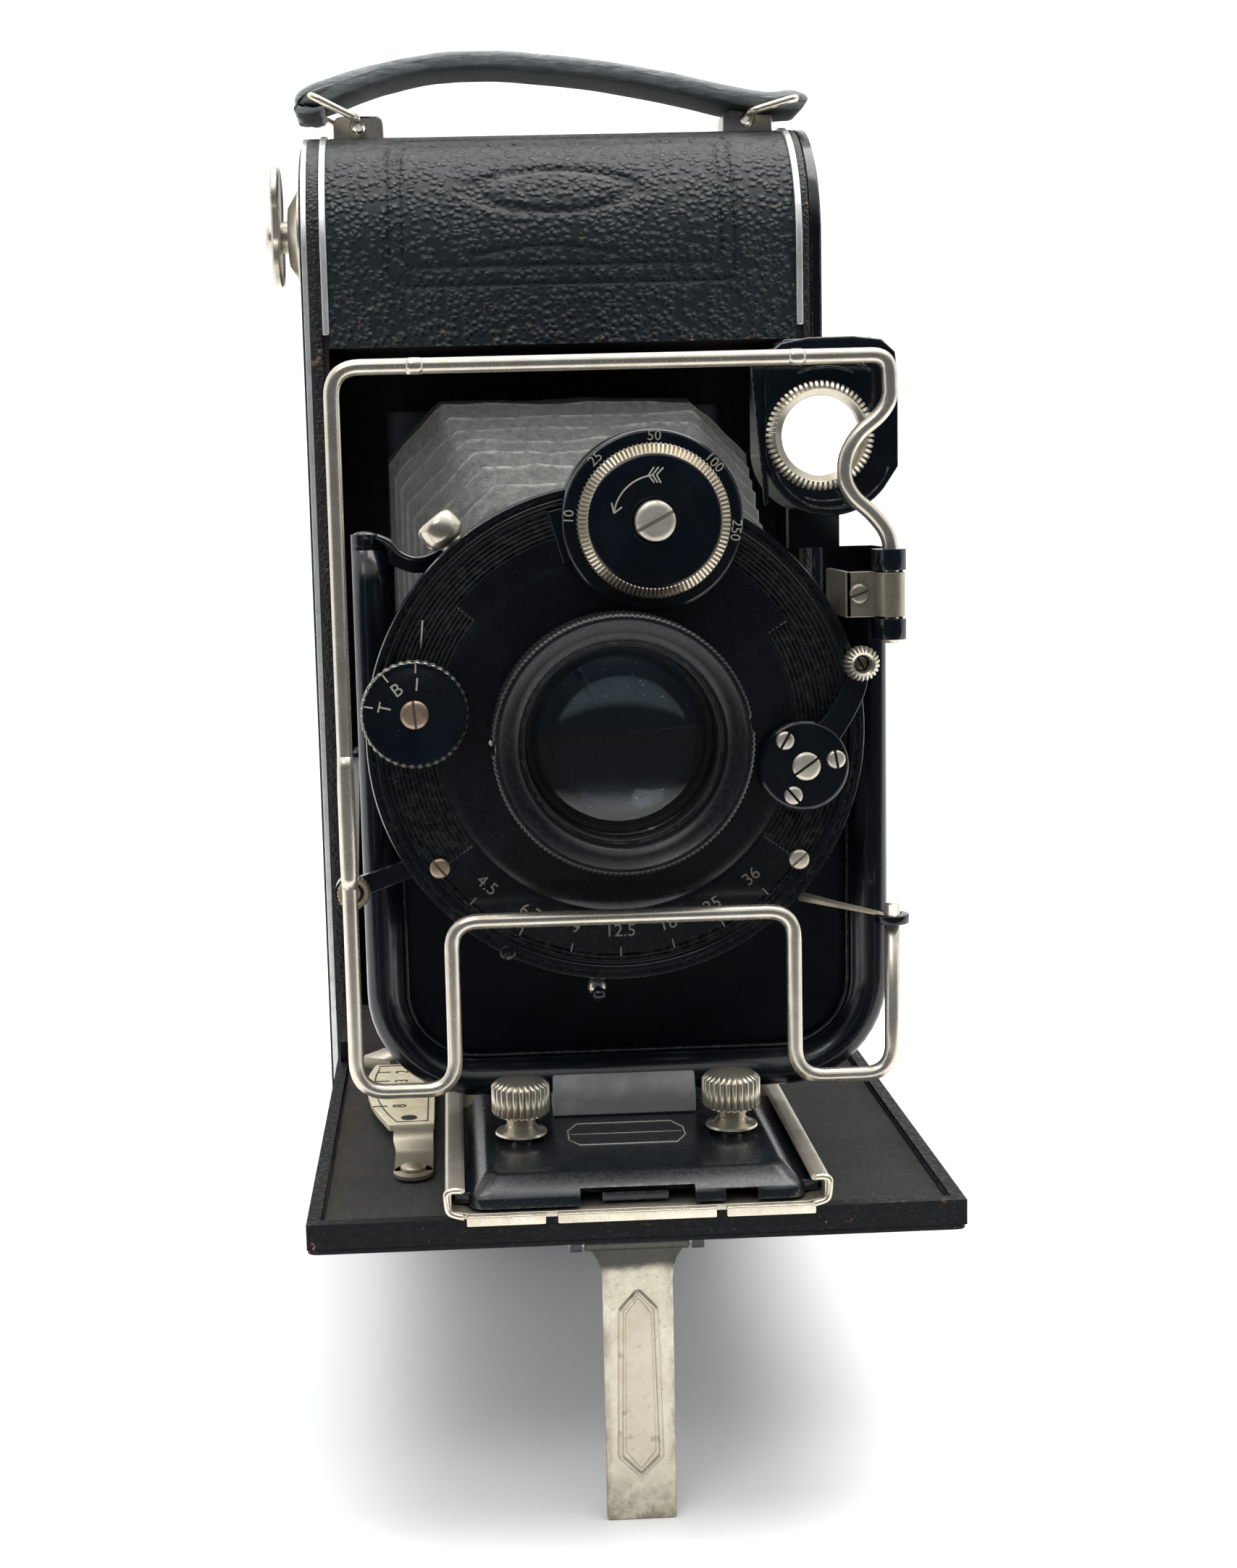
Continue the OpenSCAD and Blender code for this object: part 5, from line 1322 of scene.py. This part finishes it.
def groove_share(degrees, r):
    """How deep the turned grooves are: none in the plain fields."""
    fields = ((216, 324, 25.4), (92, 140, 23.4), (32, 66, 23.4))
    return 0.0 if any(low < degrees < high and r < reach for low, high, reach in fields) else 1.0


def shutter_face():
    # Turned face: a flat annulus, fine concentric grooves and a raised rim
    count = 720

    def ring(r, y, groove=0.0):
        return [(LENS.x + r * cosd(a), FACE + y + groove * groove_share(a, r), LENS.z + r * sind(a))
                for a in (360 * i / count for i in range(count))]

    flat, depth, pitch = 0.35, 0.20, 0.5
    rings = [ring(12.9, 1.2)] + [ring(r, flat) for r in (12.9, 15, 16, 17, 18, 19, 20)]
    rings += [ring(r, flat + 0.06) for r in (20.15, 20.4)]
    for k in range(12):
        r = 20.6 + k * pitch
        rings += [ring(r, flat), ring(r + pitch * 0.35, flat, depth), ring(r + pitch * 0.7, flat, depth)]
    rings += [ring(*p) for p in ((26.7, 0.35), (26.75, 0.12), (26.95, 0.0), (27.25, 0.0), (27.4, 0.16),
                                 (27.5, 0.34), (27.6, 0.34), (27.75, 0.12), (27.95, 0.08), (28.25, 0.10),
                                 (SHUTTER_R, 0.45), (SHUTTER_R, 1.05), (26.0, 1.05))]
    s = Solid().rings(rings, caps=False)
    emit("shutter_face_disc", s, "standard", "enamel_face", "shutter_face", angle=40)


def speed_dial():
    """Dial base, its arched field, the toothed speed ring, and the disc with its arrow and figures."""
    R = 9.75
    base = Solid().turn([(R + 0.45, 7.0), (R + 0.45, 3.4), (R + 0.40, 0.9), (R + 0.32, 0.5),
                         (R + 0.1, 0.28), (R - 0.1, 0.22), (6.0, 0.22), (0, 0.22)],
                         (DIAL.x, -87.15, DIAL.z), n=160)
    emit("speed_dial_base", base, "standard", "enamel", angle=40)

    # Arched cover joining the dial base to the face
    outline = [polar(LENS, 26.4, a) for a in range(58, 107, 3)]
    back = [polar(LENS, 20.2, a) for a in range(106, 57, -3)]
    neck = Solid().prism(outline + back, "y", FACE + 0.12, FACE + 0.6)
    emit("speed_dial_field", neck, "standard", "enamel", bevel=0.2, segments=3)

    # Speed ring with radial teeth, black disc, screw
    teeth = 104

    def ripple(i, a):
        share = max(0.0, math.sin(teeth * a)) ** 0.5
        return (0, 0.46 * share) if i in (2, 3) else (0.2 * share - 0.2 if i in (0, 1) else 0)

    ring = Solid().turn([(8.6, 2.0), (8.6, 0.95), (8.42, 0.62), (7.5, 0.0), (7.35, 0.10), (7.35, 2.0)],
                        (DIAL.x, -89.35, DIAL.z), n=teeth * 5, ripple=ripple)
    emit("speed_dial_ring", ring, "speed_dial", "nickel_knob", "speed_dial", angle=40)
    disc = Solid().turn([(7.35, 1.6), (7.35, 0.2), (7.2, 0.08), (7.0, 0.05), (2.7, 0.05), (2.5, 0.15),
                         (0, 0.15)], (DIAL.x, -89.45, DIAL.z), n=128)
    emit("speed_dial_disc", disc, "speed_dial", "enamel", angle=35)
    hub = Solid().turn([(2.35, 0.9), (2.35, -0.35), (2.2, -0.52), (0, -0.52)], (DIAL.x, -89.4, DIAL.z),
                       n=64)
    emit("speed_dial_hub", hub, "speed_dial", "enamel", angle=35)
    screws("speed_dial_screw", "speed_dial", "screw", [(DIAL.x, -89.95, DIAL.z, 2.2, 27, 0.6, 0.42)])
    arrow = Solid()

    def stroke(*ends):
        arrow.tube([(x, -89.37, z) for x, z in ends], 0.10, 6)

    stroke(*[polar(DIAL, 5.0 - 0.4 * (a - 90) / 76, a) for a in range(90, 168, 4)])
    for k in (-1, 1):
        stroke(polar(DIAL, 4.6, 168), polar(DIAL, 4.55 + 0.62 * k, 156))
        for a in (84, 89, 94):
            stroke(polar(DIAL, 5.02, a + 3), polar(DIAL, 5.02 + 0.85 * k, a - 4))
    emit("speed_dial_arrow", arrow, "speed_dial", "marks", weld=0)
    figures = Solid()
    for words, a in (("10", 176), ("25", 132), ("50", 88), ("100", 42), ("250", -8)):
        x, z = polar(DIAL, 9.3, a)
        figures.text(words, 1.6, on_face(x, z, -87.03, math.radians(a - 90)), 0.02)
    emit("speed_dial_numbers", figures, "standard", "marks", weld=0)


def mode_dial():
    """Release setting dial with serrated edge and its mark letters."""
    teeth = 40
    mode = Solid().turn([(6.1, 1.9), (6.1, 0.5), (6.05, 0.2), (5.75, 0.02), (5.2, 0.0), (4.95, 0.12),
                         (0, 0.12)], (MODE.x, -86.35, MODE.z), n=teeth * 6,
                         ripple=ribs(teeth, 0.20, (1, 2)))
    emit("mode_dial_disc", mode, "mode_dial", "enamel", "mode_dial", angle=35)
    rim = Solid().turn([(6.13, 0.75), (6.13, 0.42), (5.98, 0.18), (5.86, 0.08), (5.80, 0.20), (5.9, 0.75)],
                       (MODE.x, -86.37, MODE.z), n=teeth * 6, ripple=ribs(teeth, 0.20, range(6)),
                       closed=True)
    emit("mode_dial_rim", rim, "mode_dial", "nickel_dull", angle=35)
    screws("mode_dial_screw", "mode_dial", "copper", [(MODE.x, -86.3, MODE.z, 1.6, 95, 0.5, 0.3)])
    marks = Solid()
    for words, a in (("T", 166), ("B", 124), ("I", 84)):
        x, z = polar(MODE, 3.35, a)
        marks.text(words, 2.1, on_face(x, z, -86.24, math.radians(a - 90)), 0.02)
        ends = [polar(MODE, r, a + 3) for r in (4.7, 5.7)]
        marks.tube([(p[0], -86.34, p[1]) for p in ends], 0.10, 6)
    emit("mode_dial_marks", marks, "mode_dial", "marks", weld=0)


def cocking_lever():
    """Cocking lever: plate on its boss, four screws, curved arm and knurled cup."""
    boss = Vector((21.1, 0, 83.0))
    knob = Vector((27.4, 0, 94.6))
    lever = Solid().turn([(0, -0.35), (4.6, -0.35), (5.0, -0.2), (5.2, 0.1), (5.2, 0.85), (0, 0.85)],
                         (boss.x, FACE - 1.3, boss.z), n=96)
    spine = smooth([(boss.x + 2.5, 0, boss.z + 3.2), (25.3, 0, 88.6), (26.9, 0, 91.6),
                    (knob.x, 0, knob.z)], 6)
    outline_l, outline_r = [], []
    for i, p in enumerate(spine):
        d = (spine[min(i + 1, len(spine) - 1)] - spine[max(i - 1, 0)]).normalized()
        side = Vector((-d.z, 0, d.x))
        w = 1.55 - 0.35 * i / (len(spine) - 1)
        outline_l.append((p.x + side.x * w, p.z + side.z * w))
        outline_r.append((p.x - side.x * w, p.z - side.z * w))
    lever.prism(outline_l + outline_r[::-1], "y", FACE - 1.45, FACE - 0.75)
    lever.turn([(1.2, 1.4), (1.2, -0.6), (0, -0.6)], (knob.x, FACE - 2.0, knob.z), n=40)
    emit("cocking_lever_arm", lever, "cocking_lever", "enamel", "cocking_lever", bevel=0.16, segments=3)
    teeth = 22
    cup = Solid().turn([(0, 1.4), (1.5, 1.3), (1.85, 0.9), (1.95, 0.2), (1.95, -0.55), (1.7, -1.05),
                        (1.35, -1.35), (1.05, -1.2), (0.95, -0.9), (0.85, 0.6), (0, 0.6)],
                        (knob.x, FACE - 2.75, knob.z), n=teeth * 10,
                        ripple=ribs(teeth, 0.34, (2, 3, 4, 5), 0.7, 0.8))
    emit("cocking_lever_cup", cup, "cocking_lever", "nickel_knob", angle=40)
    screws("cocking_lever_pin", "cocking_lever", "nickel_dull",
           [(knob.x, FACE - 2.3, knob.z, 0.8, 120, 0.35, 0.2)])
    spots = (21.3, 83.0, 35, 1.6), (18.9, 86.0, 60, 1.05), (24.7, 83.7, 100, 1.05), (19.8, 79.7, 130, 1.05)
    screws("cocking_lever_screws", "cocking_lever", "screw",
           [(x, FACE - 1.62, z, r, t, 0.5, 0.3) for x, z, t, r in spots])


def face_screws():
    screws("face_screw_right", "standard", "screw", [(20.7, FACE + 0.25, 72.0, 1.15, 40)], "face_screws")
    screws("face_screw_left", "standard", "copper", [(-20.5, FACE + 0.25, 72.3, 1.15, 130)], "face_screws")
    screws("face_screws_black", "standard", "enamel", [(-13.0, FACE + 0.3, 62.2, 0.9, 60, 0.35, 0.2),
            (11.5, FACE + 0.3, 110.0, 0.8, 10, 0.3, 0.2)], ())


def aperture_scale():
    """Index of the setting dial, and aperture figures on the face's plain lower field."""
    index = Solid().tube([(MODE.x + 0.9, FACE + 0.33, MODE.z + 7.2),
                          (MODE.x + 1.2, FACE + 0.33, MODE.z + 10.4)], 0.12, 6)
    emit("mode_index", index, "standard", "marks", crisp=False)
    figures = Solid()
    for words, a in (("4.5", 228), ("6.3", 243), ("9", 257), ("12.5", 270), ("18", 284), ("25", 298),
                     ("36", 312)):
        x, z = polar(LENS, 22.7, a)
        figures.text(words, 2.1, on_face(x, z, FACE + 0.31, math.radians(a + 90)), 0.02)
        p, q = polar(LENS, 24.6, a), polar(LENS, 25.6, a)
        figures.tube([(p[0], FACE + 0.33, p[1]), (q[0], FACE + 0.33, q[1])], 0.09, 6)
    emit("aperture_numbers", figures, "standard", "marks_dim", weld=0)


def aperture_lever():
    """Aperture lever's end below the rim."""
    ball = Solid().turn([(0, -1.0), (0.6, -0.85), (1.0, -0.45), (1.1, 0), (1.0, 0.45), (0.6, 0.85),
                         (0, 1.0)], (-2.6, -80.6, 57.0), n=40)
    emit("aperture_lever_ball", ball, "aperture_lever", "nickel_bright", crisp=False)


def cable_socket():
    """Cable release socket at the upper left."""
    out = Vector((-0.62, 0, 0.78)).normalized()
    turn = Matrix.Translation((-18.0, -81.0, 109.0)) @ out.to_track_quat("Z", "Y").to_matrix().to_4x4()
    stub = Solid().turn([(0.9, 0.9), (0.9, 1.66), (1.2, 1.74), (1.85, 1.62), (2.2, 1.32), (2.36, 0.85),
                         (2.42, 0.1), (2.38, -0.6), (2.15, -1.15), (1.7, -1.5), (1.35, -1.7), (1.3, -2.0),
                         (1.3, -2.5), (1.9, -2.6), (1.9, -3.1), (0, -3.1)], (0, 0, 1.9), axis="z", n=64)
    stub.turn([(0.9, 1.6), (0.9, 0.2), (0, 0.2)], (0, 0, 1.9), axis="z", n=48)
    done = Solid().take(stub, turn)
    stub.bm.free()
    emit("cable_socket_stub", done, "standard", "nickel_knob", "cable_socket", angle=35)


def release_lever():
    """Knob of the release lever at the left."""
    teeth = 24
    tip = Solid().turn([(0, 1.5), (1.5, 1.4), (1.85, 1.0), (1.92, 0.0), (1.9, -0.5), (1.7, -0.75),
                        (1.35, -0.7), (1.15, -0.4), (0.9, -0.35), (0.75, -0.6), (0, -0.65)],
                        (-30.4, -84.2, 69.8), n=teeth * 6, ripple=ribs(teeth, 0.10, (2, 3, 4)))
    emit("release_lever_tip", tip, "release_lever", "nickel_dull", angle=40)


for make in (shutter_face, speed_dial, mode_dial, cocking_lever, face_screws, aperture_scale,
             aperture_lever, cable_socket, release_lever):
    make()


# ---- lens
def lens():
    teeth = 150

    def knurl(i, a):
        depth = 0.16 * (abs(math.sin(teeth * a / 2)) - 0.9)
        for notch in (180, 8):
            off = abs((math.degrees(a) - notch + 180) % 360 - 180)
            if off < 3.2:
                depth = -0.75
        return depth if i in (2, 3, 4, 5) else 0

    profile = [(13.7, 9.0), (13.7, 6.2), (14.3, 5.9), (14.42, 5.6), (14.42, 0.55), (14.3, 0.22),
               (14.05, 0.03), (13.75, 0.0), (13.5, 0.12)]
    profile += [(13.3, 0.30), (12.4, 0.56), (11.6, 0.84), (11.42, 1.12), (11.36, 1.35), (11.25, 1.9),
                (11.15, 2.5), (10.95, 2.55), (10.95, 6.5)]
    ring = Solid().turn(profile, (LENS.x, -94.5, LENS.z), n=teeth * 5, ripple=knurl)
    emit("lens_ring_knurled", ring, "standard", "enamel_matte", "lens_ring", angle=38)
    mount = Solid().turn([(11.1, 1.5), (10.9, 1.42), (10.75, 1.6), (10.7, 2.2), (10.7, 3.2), (10.95, 3.4)],
                         (LENS.x, -93.4, LENS.z), n=128)
    emit("lens_retaining_ring", mount, "standard", "barrel", angle=35)
    dot = Solid().tube([(-14.3, -90.2, 87.2), (-14.3, -89.0, 87.2)], 0.3, 8)
    emit("lens_index", dot, "standard", "marks", crisp=False)

    # Glass: front meniscus, inner and rear elements; each side is (middle, rise towards the edge)
    for name, r, y, steps, (f0, f1), (b0, b1), stands in (
            ("front", 10.8, -90.2, 14, (-1.6, 1.9), (1.3, 0.8), "lens_glass"),
            ("inner", 8.6, -86.6, 10, (0.0, 0.9), (3.0, -1.3), ()),
            ("rear", 10.4, -71.6, 10, (0.0, -0.6), (2.8, -2.2), ())):
        s = Solid().turn([(r * k / steps, f0 + f1 * (k / steps) ** 2) for k in range(steps + 1)]
                         + [(r * k / steps, b0 + b1 * (k / steps) ** 2) for k in range(steps, -1, -1)],
                         (LENS.x, y, LENS.z), n=96)
        emit("lens_" + name + "_element", s, "standard", "glass", stands, angle=50)
    # Stepped black barrel seen through the glass
    s = Solid().turn([(10.9, 0), (10.6, 0.3), (10.2, 1.6), (9.6, 1.8), (8.8, 3.2), (8.6, 3.4), (8.9, 4.6),
                      (8.2, 6.5), (8.2, 8.4), (10.9, 8.4)], (LENS.x, -88.6, LENS.z), n=96)
    emit("lens_inner_barrel", s, "standard", "barrel", angle=35)


lens()


# ---- wire finder
def wire_finder():
    low_, high_ = cad("wire_finder")
    y, r = (low_.y + high_.y) / 2, 0.87
    x, top, foot = high_.x - r, high_.z - r, low_.z + r
    step_x, step_z = 19.4, 66.8
    frame_ = [(x, 67.2), (x, foot), (step_x, foot), (step_x, step_z), (-step_x, step_z), (-step_x, foot),
              (-x, foot), (-x, 72.0), (-x, 84.5), (-x, top), (x - 0.1, top), (x, 124.4)]
    path = fillet([(a, y, b) for a, b in frame_], [0, 3.4, 3.4, 3.2, 3.2, 3.4, 3.6, 0, 0, 3.2, 3.6, 0],
                  n=9, closed=False)
    bent = smooth([(x, y, 124.4), (x - 0.35, y, 123.2), (29.2, y, 121.8), (27.0, y, 119.9),
                   (25.7, y, 117.6), (25.55, y, 115.2), (26.5, y, 113.2), (28.6, y, 111.2),
                   (x - 0.5, y, 109.2), (x, y, 107.2), (x, y, 104.0), (x, y, 96.9)], 6)
    path = path[:-1] + [tuple(p) for p in bent]
    s = Solid().tube(path, r, 18)
    emit("wire_frame", s, "wire_finder", "nickel_wire", "wire_finder", crisp=False)
    # Brazed joint on the left side and two pinches on the top bar
    joint = Solid().tube([(-x, y, z) for z in (71.0, 72.2, 74.0, 82.0, 84.6, 86.0)],
                         [0.88, 0.93, 0.97, 0.97, 0.92, 0.88], 16)
    for x0 in (-21.5, 20.3):
        joint.tube([(x0 + d, y - 0.02, top) for d in (-0.9, -0.4, 0.4, 0.9)], [0.86, 0.93, 0.93, 0.86], 16)
    emit("wire_joint", joint, "wire_finder", "nickel_wire", crisp=False)


wire_finder()


def hinge():
    x, y = HINGE
    low_, high_ = cad("hinge_leaf")
    s = Solid().turn([(0.9, low_.z + 0.08), (1.5, low_.z + 0.05), (1.56, low_.z + 0.2),
                      (1.56, high_.z - 0.2), (1.5, high_.z - 0.05), (0.9, high_.z - 0.08)], (x, y, 0),
                      axis="z", n=64, closed=True)
    s.box((25.75, y + 0.7, low_.z), (x, y + 1.5, high_.z))
    s.box((25.65, y + 0.7, low_.z), (26.35, -75.4, high_.z))
    emit("hinge_leaf_plate", s, "standard", "nickel_dull", "hinge_leaf", bevel=0.12)
    screws("hinge_screw", "standard", "nickel_dull", [(27.2, y + 0.66, 102.4, 1.1, 20, 0.5, 0.24)])


hinge()


# ---- reflecting finder
def reflecting_finder():
    low_, high_ = cad("finder_housing")
    ring_at = middle("finder_ring")
    front, back = low_.y, high_.y

    def outline(inset):
        r = 7.5 - inset
        lower = arc(FINDER_X, FINDER_Z, r, 180, 322, 24) + [(32.0 - inset, 116.4), (32.0 - inset, 118.6)]
        top = [(32 - inset, 126.5), (31.7 - inset, 129.0 - inset * 0.6), (30.2 - inset, 130.4 - inset),
               (27.0, 130.8 - inset), (22.0, 130.75 - inset), (18.9 + inset, 130.2 - inset),
               (17.3 + inset, 128.8 - inset * 0.6), (17 + inset, 126.5)]
        return lower + top

    s = Solid().rings([[(x, y, z) for x, z in outline(n)] for n, y in ((0.5, front), (0.12, front + 0.12),
            (0.0, front + 0.45), (0.0, front + 2.0))])
    hole = Solid().turn([(0, -3), (4.7, -3), (4.7, 6), (0, 6)], (ring_at.x, front, ring_at.z), n=64)
    emit("finder_front", s, "reflecting_finder", "enamel", angle=35, cut=hole)
    outer, inner = outline(0.05), outline(1.0)
    shell = Solid().rings([[(x, front + 1.8, z) for x, z in outer], [(x, back, z) for x, z in outer],
                           [(x, back, z) for x, z in inner], [(x, front + 1.8, z) for x, z in inner]],
                           loop=True, caps=False)
    shell.prism(outline(0.6), "y", back - 1.0, back - 0.05)
    window = Solid().box((18.0, front + 1.9, 126.0), (31.0, back - 1.1, 133))
    emit("finder_shell", shell, "reflecting_finder", "enamel", "finder_housing", bevel=0.1, cut=window)
    # Layered hood edges round the top lens, and a tapering plate at the left
    hood = Solid()
    x0, x1, top = low_.x + 0.9, high_.x - 0.45, high_.z
    for depth, drop, w in ((0.5, 1.15, 0.30), (1.5, 0.75, 0.32), (2.7, 0.36, 0.34)):
        y = front + depth
        over = smooth([(x0 + 0.1, y, top - drop - 3.4), (x0 + 0.2, y, top - drop - 1.7),
                       (x0 + 2.2, y, top - drop - 0.75), (x0 + 6.0, y, top - drop - 0.35),
                       (x1 - 4.0, y, top - drop), (x1 - 1.2, y, top - drop - 0.45),
                       (x1, y, top - drop - 2.0), (x1 + 0.05, y, top - drop - 4.6)], 5)
        hood.tube(over, w, 10)
    path = fillet([(x, y, top - 0.3) for x, y in ((x0 + 2, front + 2.7), (x1 - 2, front + 2.7),
            (x1 - 2, back - 1.0), (x0 + 2, back - 1.0))], 0.8)
    hood.tube(path + path[:2], 0.3, 8)
    hood.prism([(15.5, 129.0), (17.3, 129.2), (17.5, 112.8), (17.05, 112.4)], "y", front + 0.7, front + 1.3)
    emit("finder_hood", hood, "reflecting_finder", "enamel_worn", bevel=0.08)
    press = Solid()
    for r, a0, a1, w in ((7.5, 66, 114, 0.20), (8.6, 55, 118, 0.24), (7.2, 250, 292, 0.14),
                         (8.0, 254, 286, 0.12)):
        press.tube([(ring_at.x + 0.6 + r * cosd(a), front - 0.02, ring_at.z + r * sind(a))
                    for a in range(a0, a1 + 1, 4)], w, 8)
    press.tube([(FINDER_X + 6.7 * cosd(a), front + 0.02, FINDER_Z + 6.7 * sind(a))
                for a in range(192, 341, 4)], 0.13, 8)
    emit("finder_press_lines", press, "reflecting_finder", "enamel_worn", crisp=False)

    teeth = 60

    def serrate(i, a):
        share = max(0.0, math.sin(teeth * a)) ** 0.6
        return (-0.22 * share, 0.42 * share) if i in (1, 2) else 0

    ring = Solid().turn([(6.08, 1.9), (6.08, 0.95), (5.95, 0.60), (5.12, 0.12), (5.02, 0.22), (4.5, 0.34),
                         (4.34, 0.5), (4.3, 1.9)], (ring_at.x, -87.0, ring_at.z), n=teeth * 6,
                         ripple=serrate, closed=True)
    emit("finder_ring_serrated", ring, "reflecting_finder", "nickel_knob", "finder_ring", angle=40)
    glass_ = Solid().turn([(4.4 * k / 10, -1.1 + 1.0 * (k / 10) ** 2) for k in range(11)]
                          + [(4.4 * k / 10, 0.5) for k in range(10, -1, -1)],
                          (ring_at.x, -86.0, ring_at.z), n=72)
    c = ((low_.x + high_.x) / 2, (front + back) / 2 + 0.4)
    r_top, z_top = 6.1, high_.z - 1.9
    glass_.turn([(r_top * k / 10, 1.1 - 1.0 * (k / 10) ** 2) for k in range(11)]
                + [(r_top * k / 10, -0.5) for k in range(10, -1, -1)], (c[0], c[1], z_top), axis="z", n=72)
    emit("finder_lens_pair", glass_, "reflecting_finder", "finder_glass", "finder_lenses", angle=50)


reflecting_finder()


def finder_mirror():
    s = Solid().rings([[(19.0, y - 0.7, z), (29.9, y + 0.7, z), (29.9, y + 1.0, z - 0.3),
                        (19.0, y - 0.4, z - 0.3)] for y, z in ((-84.7, 115.3), (-76.0, 124.6))])
    emit("finder_mirror_plate", s, "reflecting_finder", "mirror", "finder_mirror")


finder_mirror()


# ---- bellows
def bellows_rings(front, back, folds):
    """Tapered pleats from the lens board to the rear frame; the corners fold over as broad bevels."""
    counts = (14, 7, 12, 7, 14, 4, 12, 4)
    per, rings = 10, []
    for k in range(folds * per + 1):
        t = k / (folds * per)
        y = front + (back - front) * t
        grow = min(1.0, (y - front) / (2.0 - front))
        phase = (k / per) % 1
        fold = (phase / 0.7 if phase < 0.7 else (1 - phase) / 0.3)
        inset = 2.7 * (1 - fold)
        half = 19.8 + 7.2 * grow - inset
        z0, z1 = 59.5 - 16.5 * grow + inset, 114.0 + 14.0 * grow - inset
        c = 4.6 + 3.4 * fold
        pts = [(-half, z0 + c), (-half, z1 - c), (-half + c, z1), (half - c, z1), (half, z1 - c),
               (half, z0 + c), (half - c, z0), (-half + c, z0)]
        ring = []
        for i, n in enumerate(counts):
            p, q = pts[i], pts[(i + 1) % len(pts)]
            for j in range(n):
                x, z = p[0] + (q[0] - p[0]) * j / n, p[1] + (q[1] - p[1]) * j / n
                d = 0.6 * noise.noise(Vector((x * 0.10, y * 0.10,
                        z * 0.10))) + 0.35 * noise.noise(Vector((x * 0.4, y * 0.3, z * 0.4)))
                ring.append((x * (1 + 0.008 * d), y + 0.5 * d, z + d))
        rings.append(ring)
    return rings


def bellows_skin_mesh():
    front, back = BELLOWS_FRONT, BELLOWS_BACK
    rings = bellows_rings(front, back, BELLOWS_FOLDS)
    s = Solid().rings(rings, caps=False)
    obj = emit("bellows_skin", s, None, "bellows")
    m = obj.modifiers.new("sheet", "SOLIDIFY")
    m.thickness, m.offset = 0.5 * MM, 1
    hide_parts("bellows")
    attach(obj, "body")
    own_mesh(obj)
    last = rings[0]
    front_y, back_y = -73.6, -66.4
    outer = [[(x * 1.012, y, z) for x, _, z in last] for y in (front_y, back_y)]
    inner = [[(x * 0.94, y, 85 + (z - 85) * 0.965) for x, _, z in last] for y in (back_y, front_y)]
    collar = Solid().rings(outer + inner, loop=True, caps=False)
    emit("bellows_front_frame", collar, "standard", "bellows", bevel=0.2)


bellows_skin_mesh()
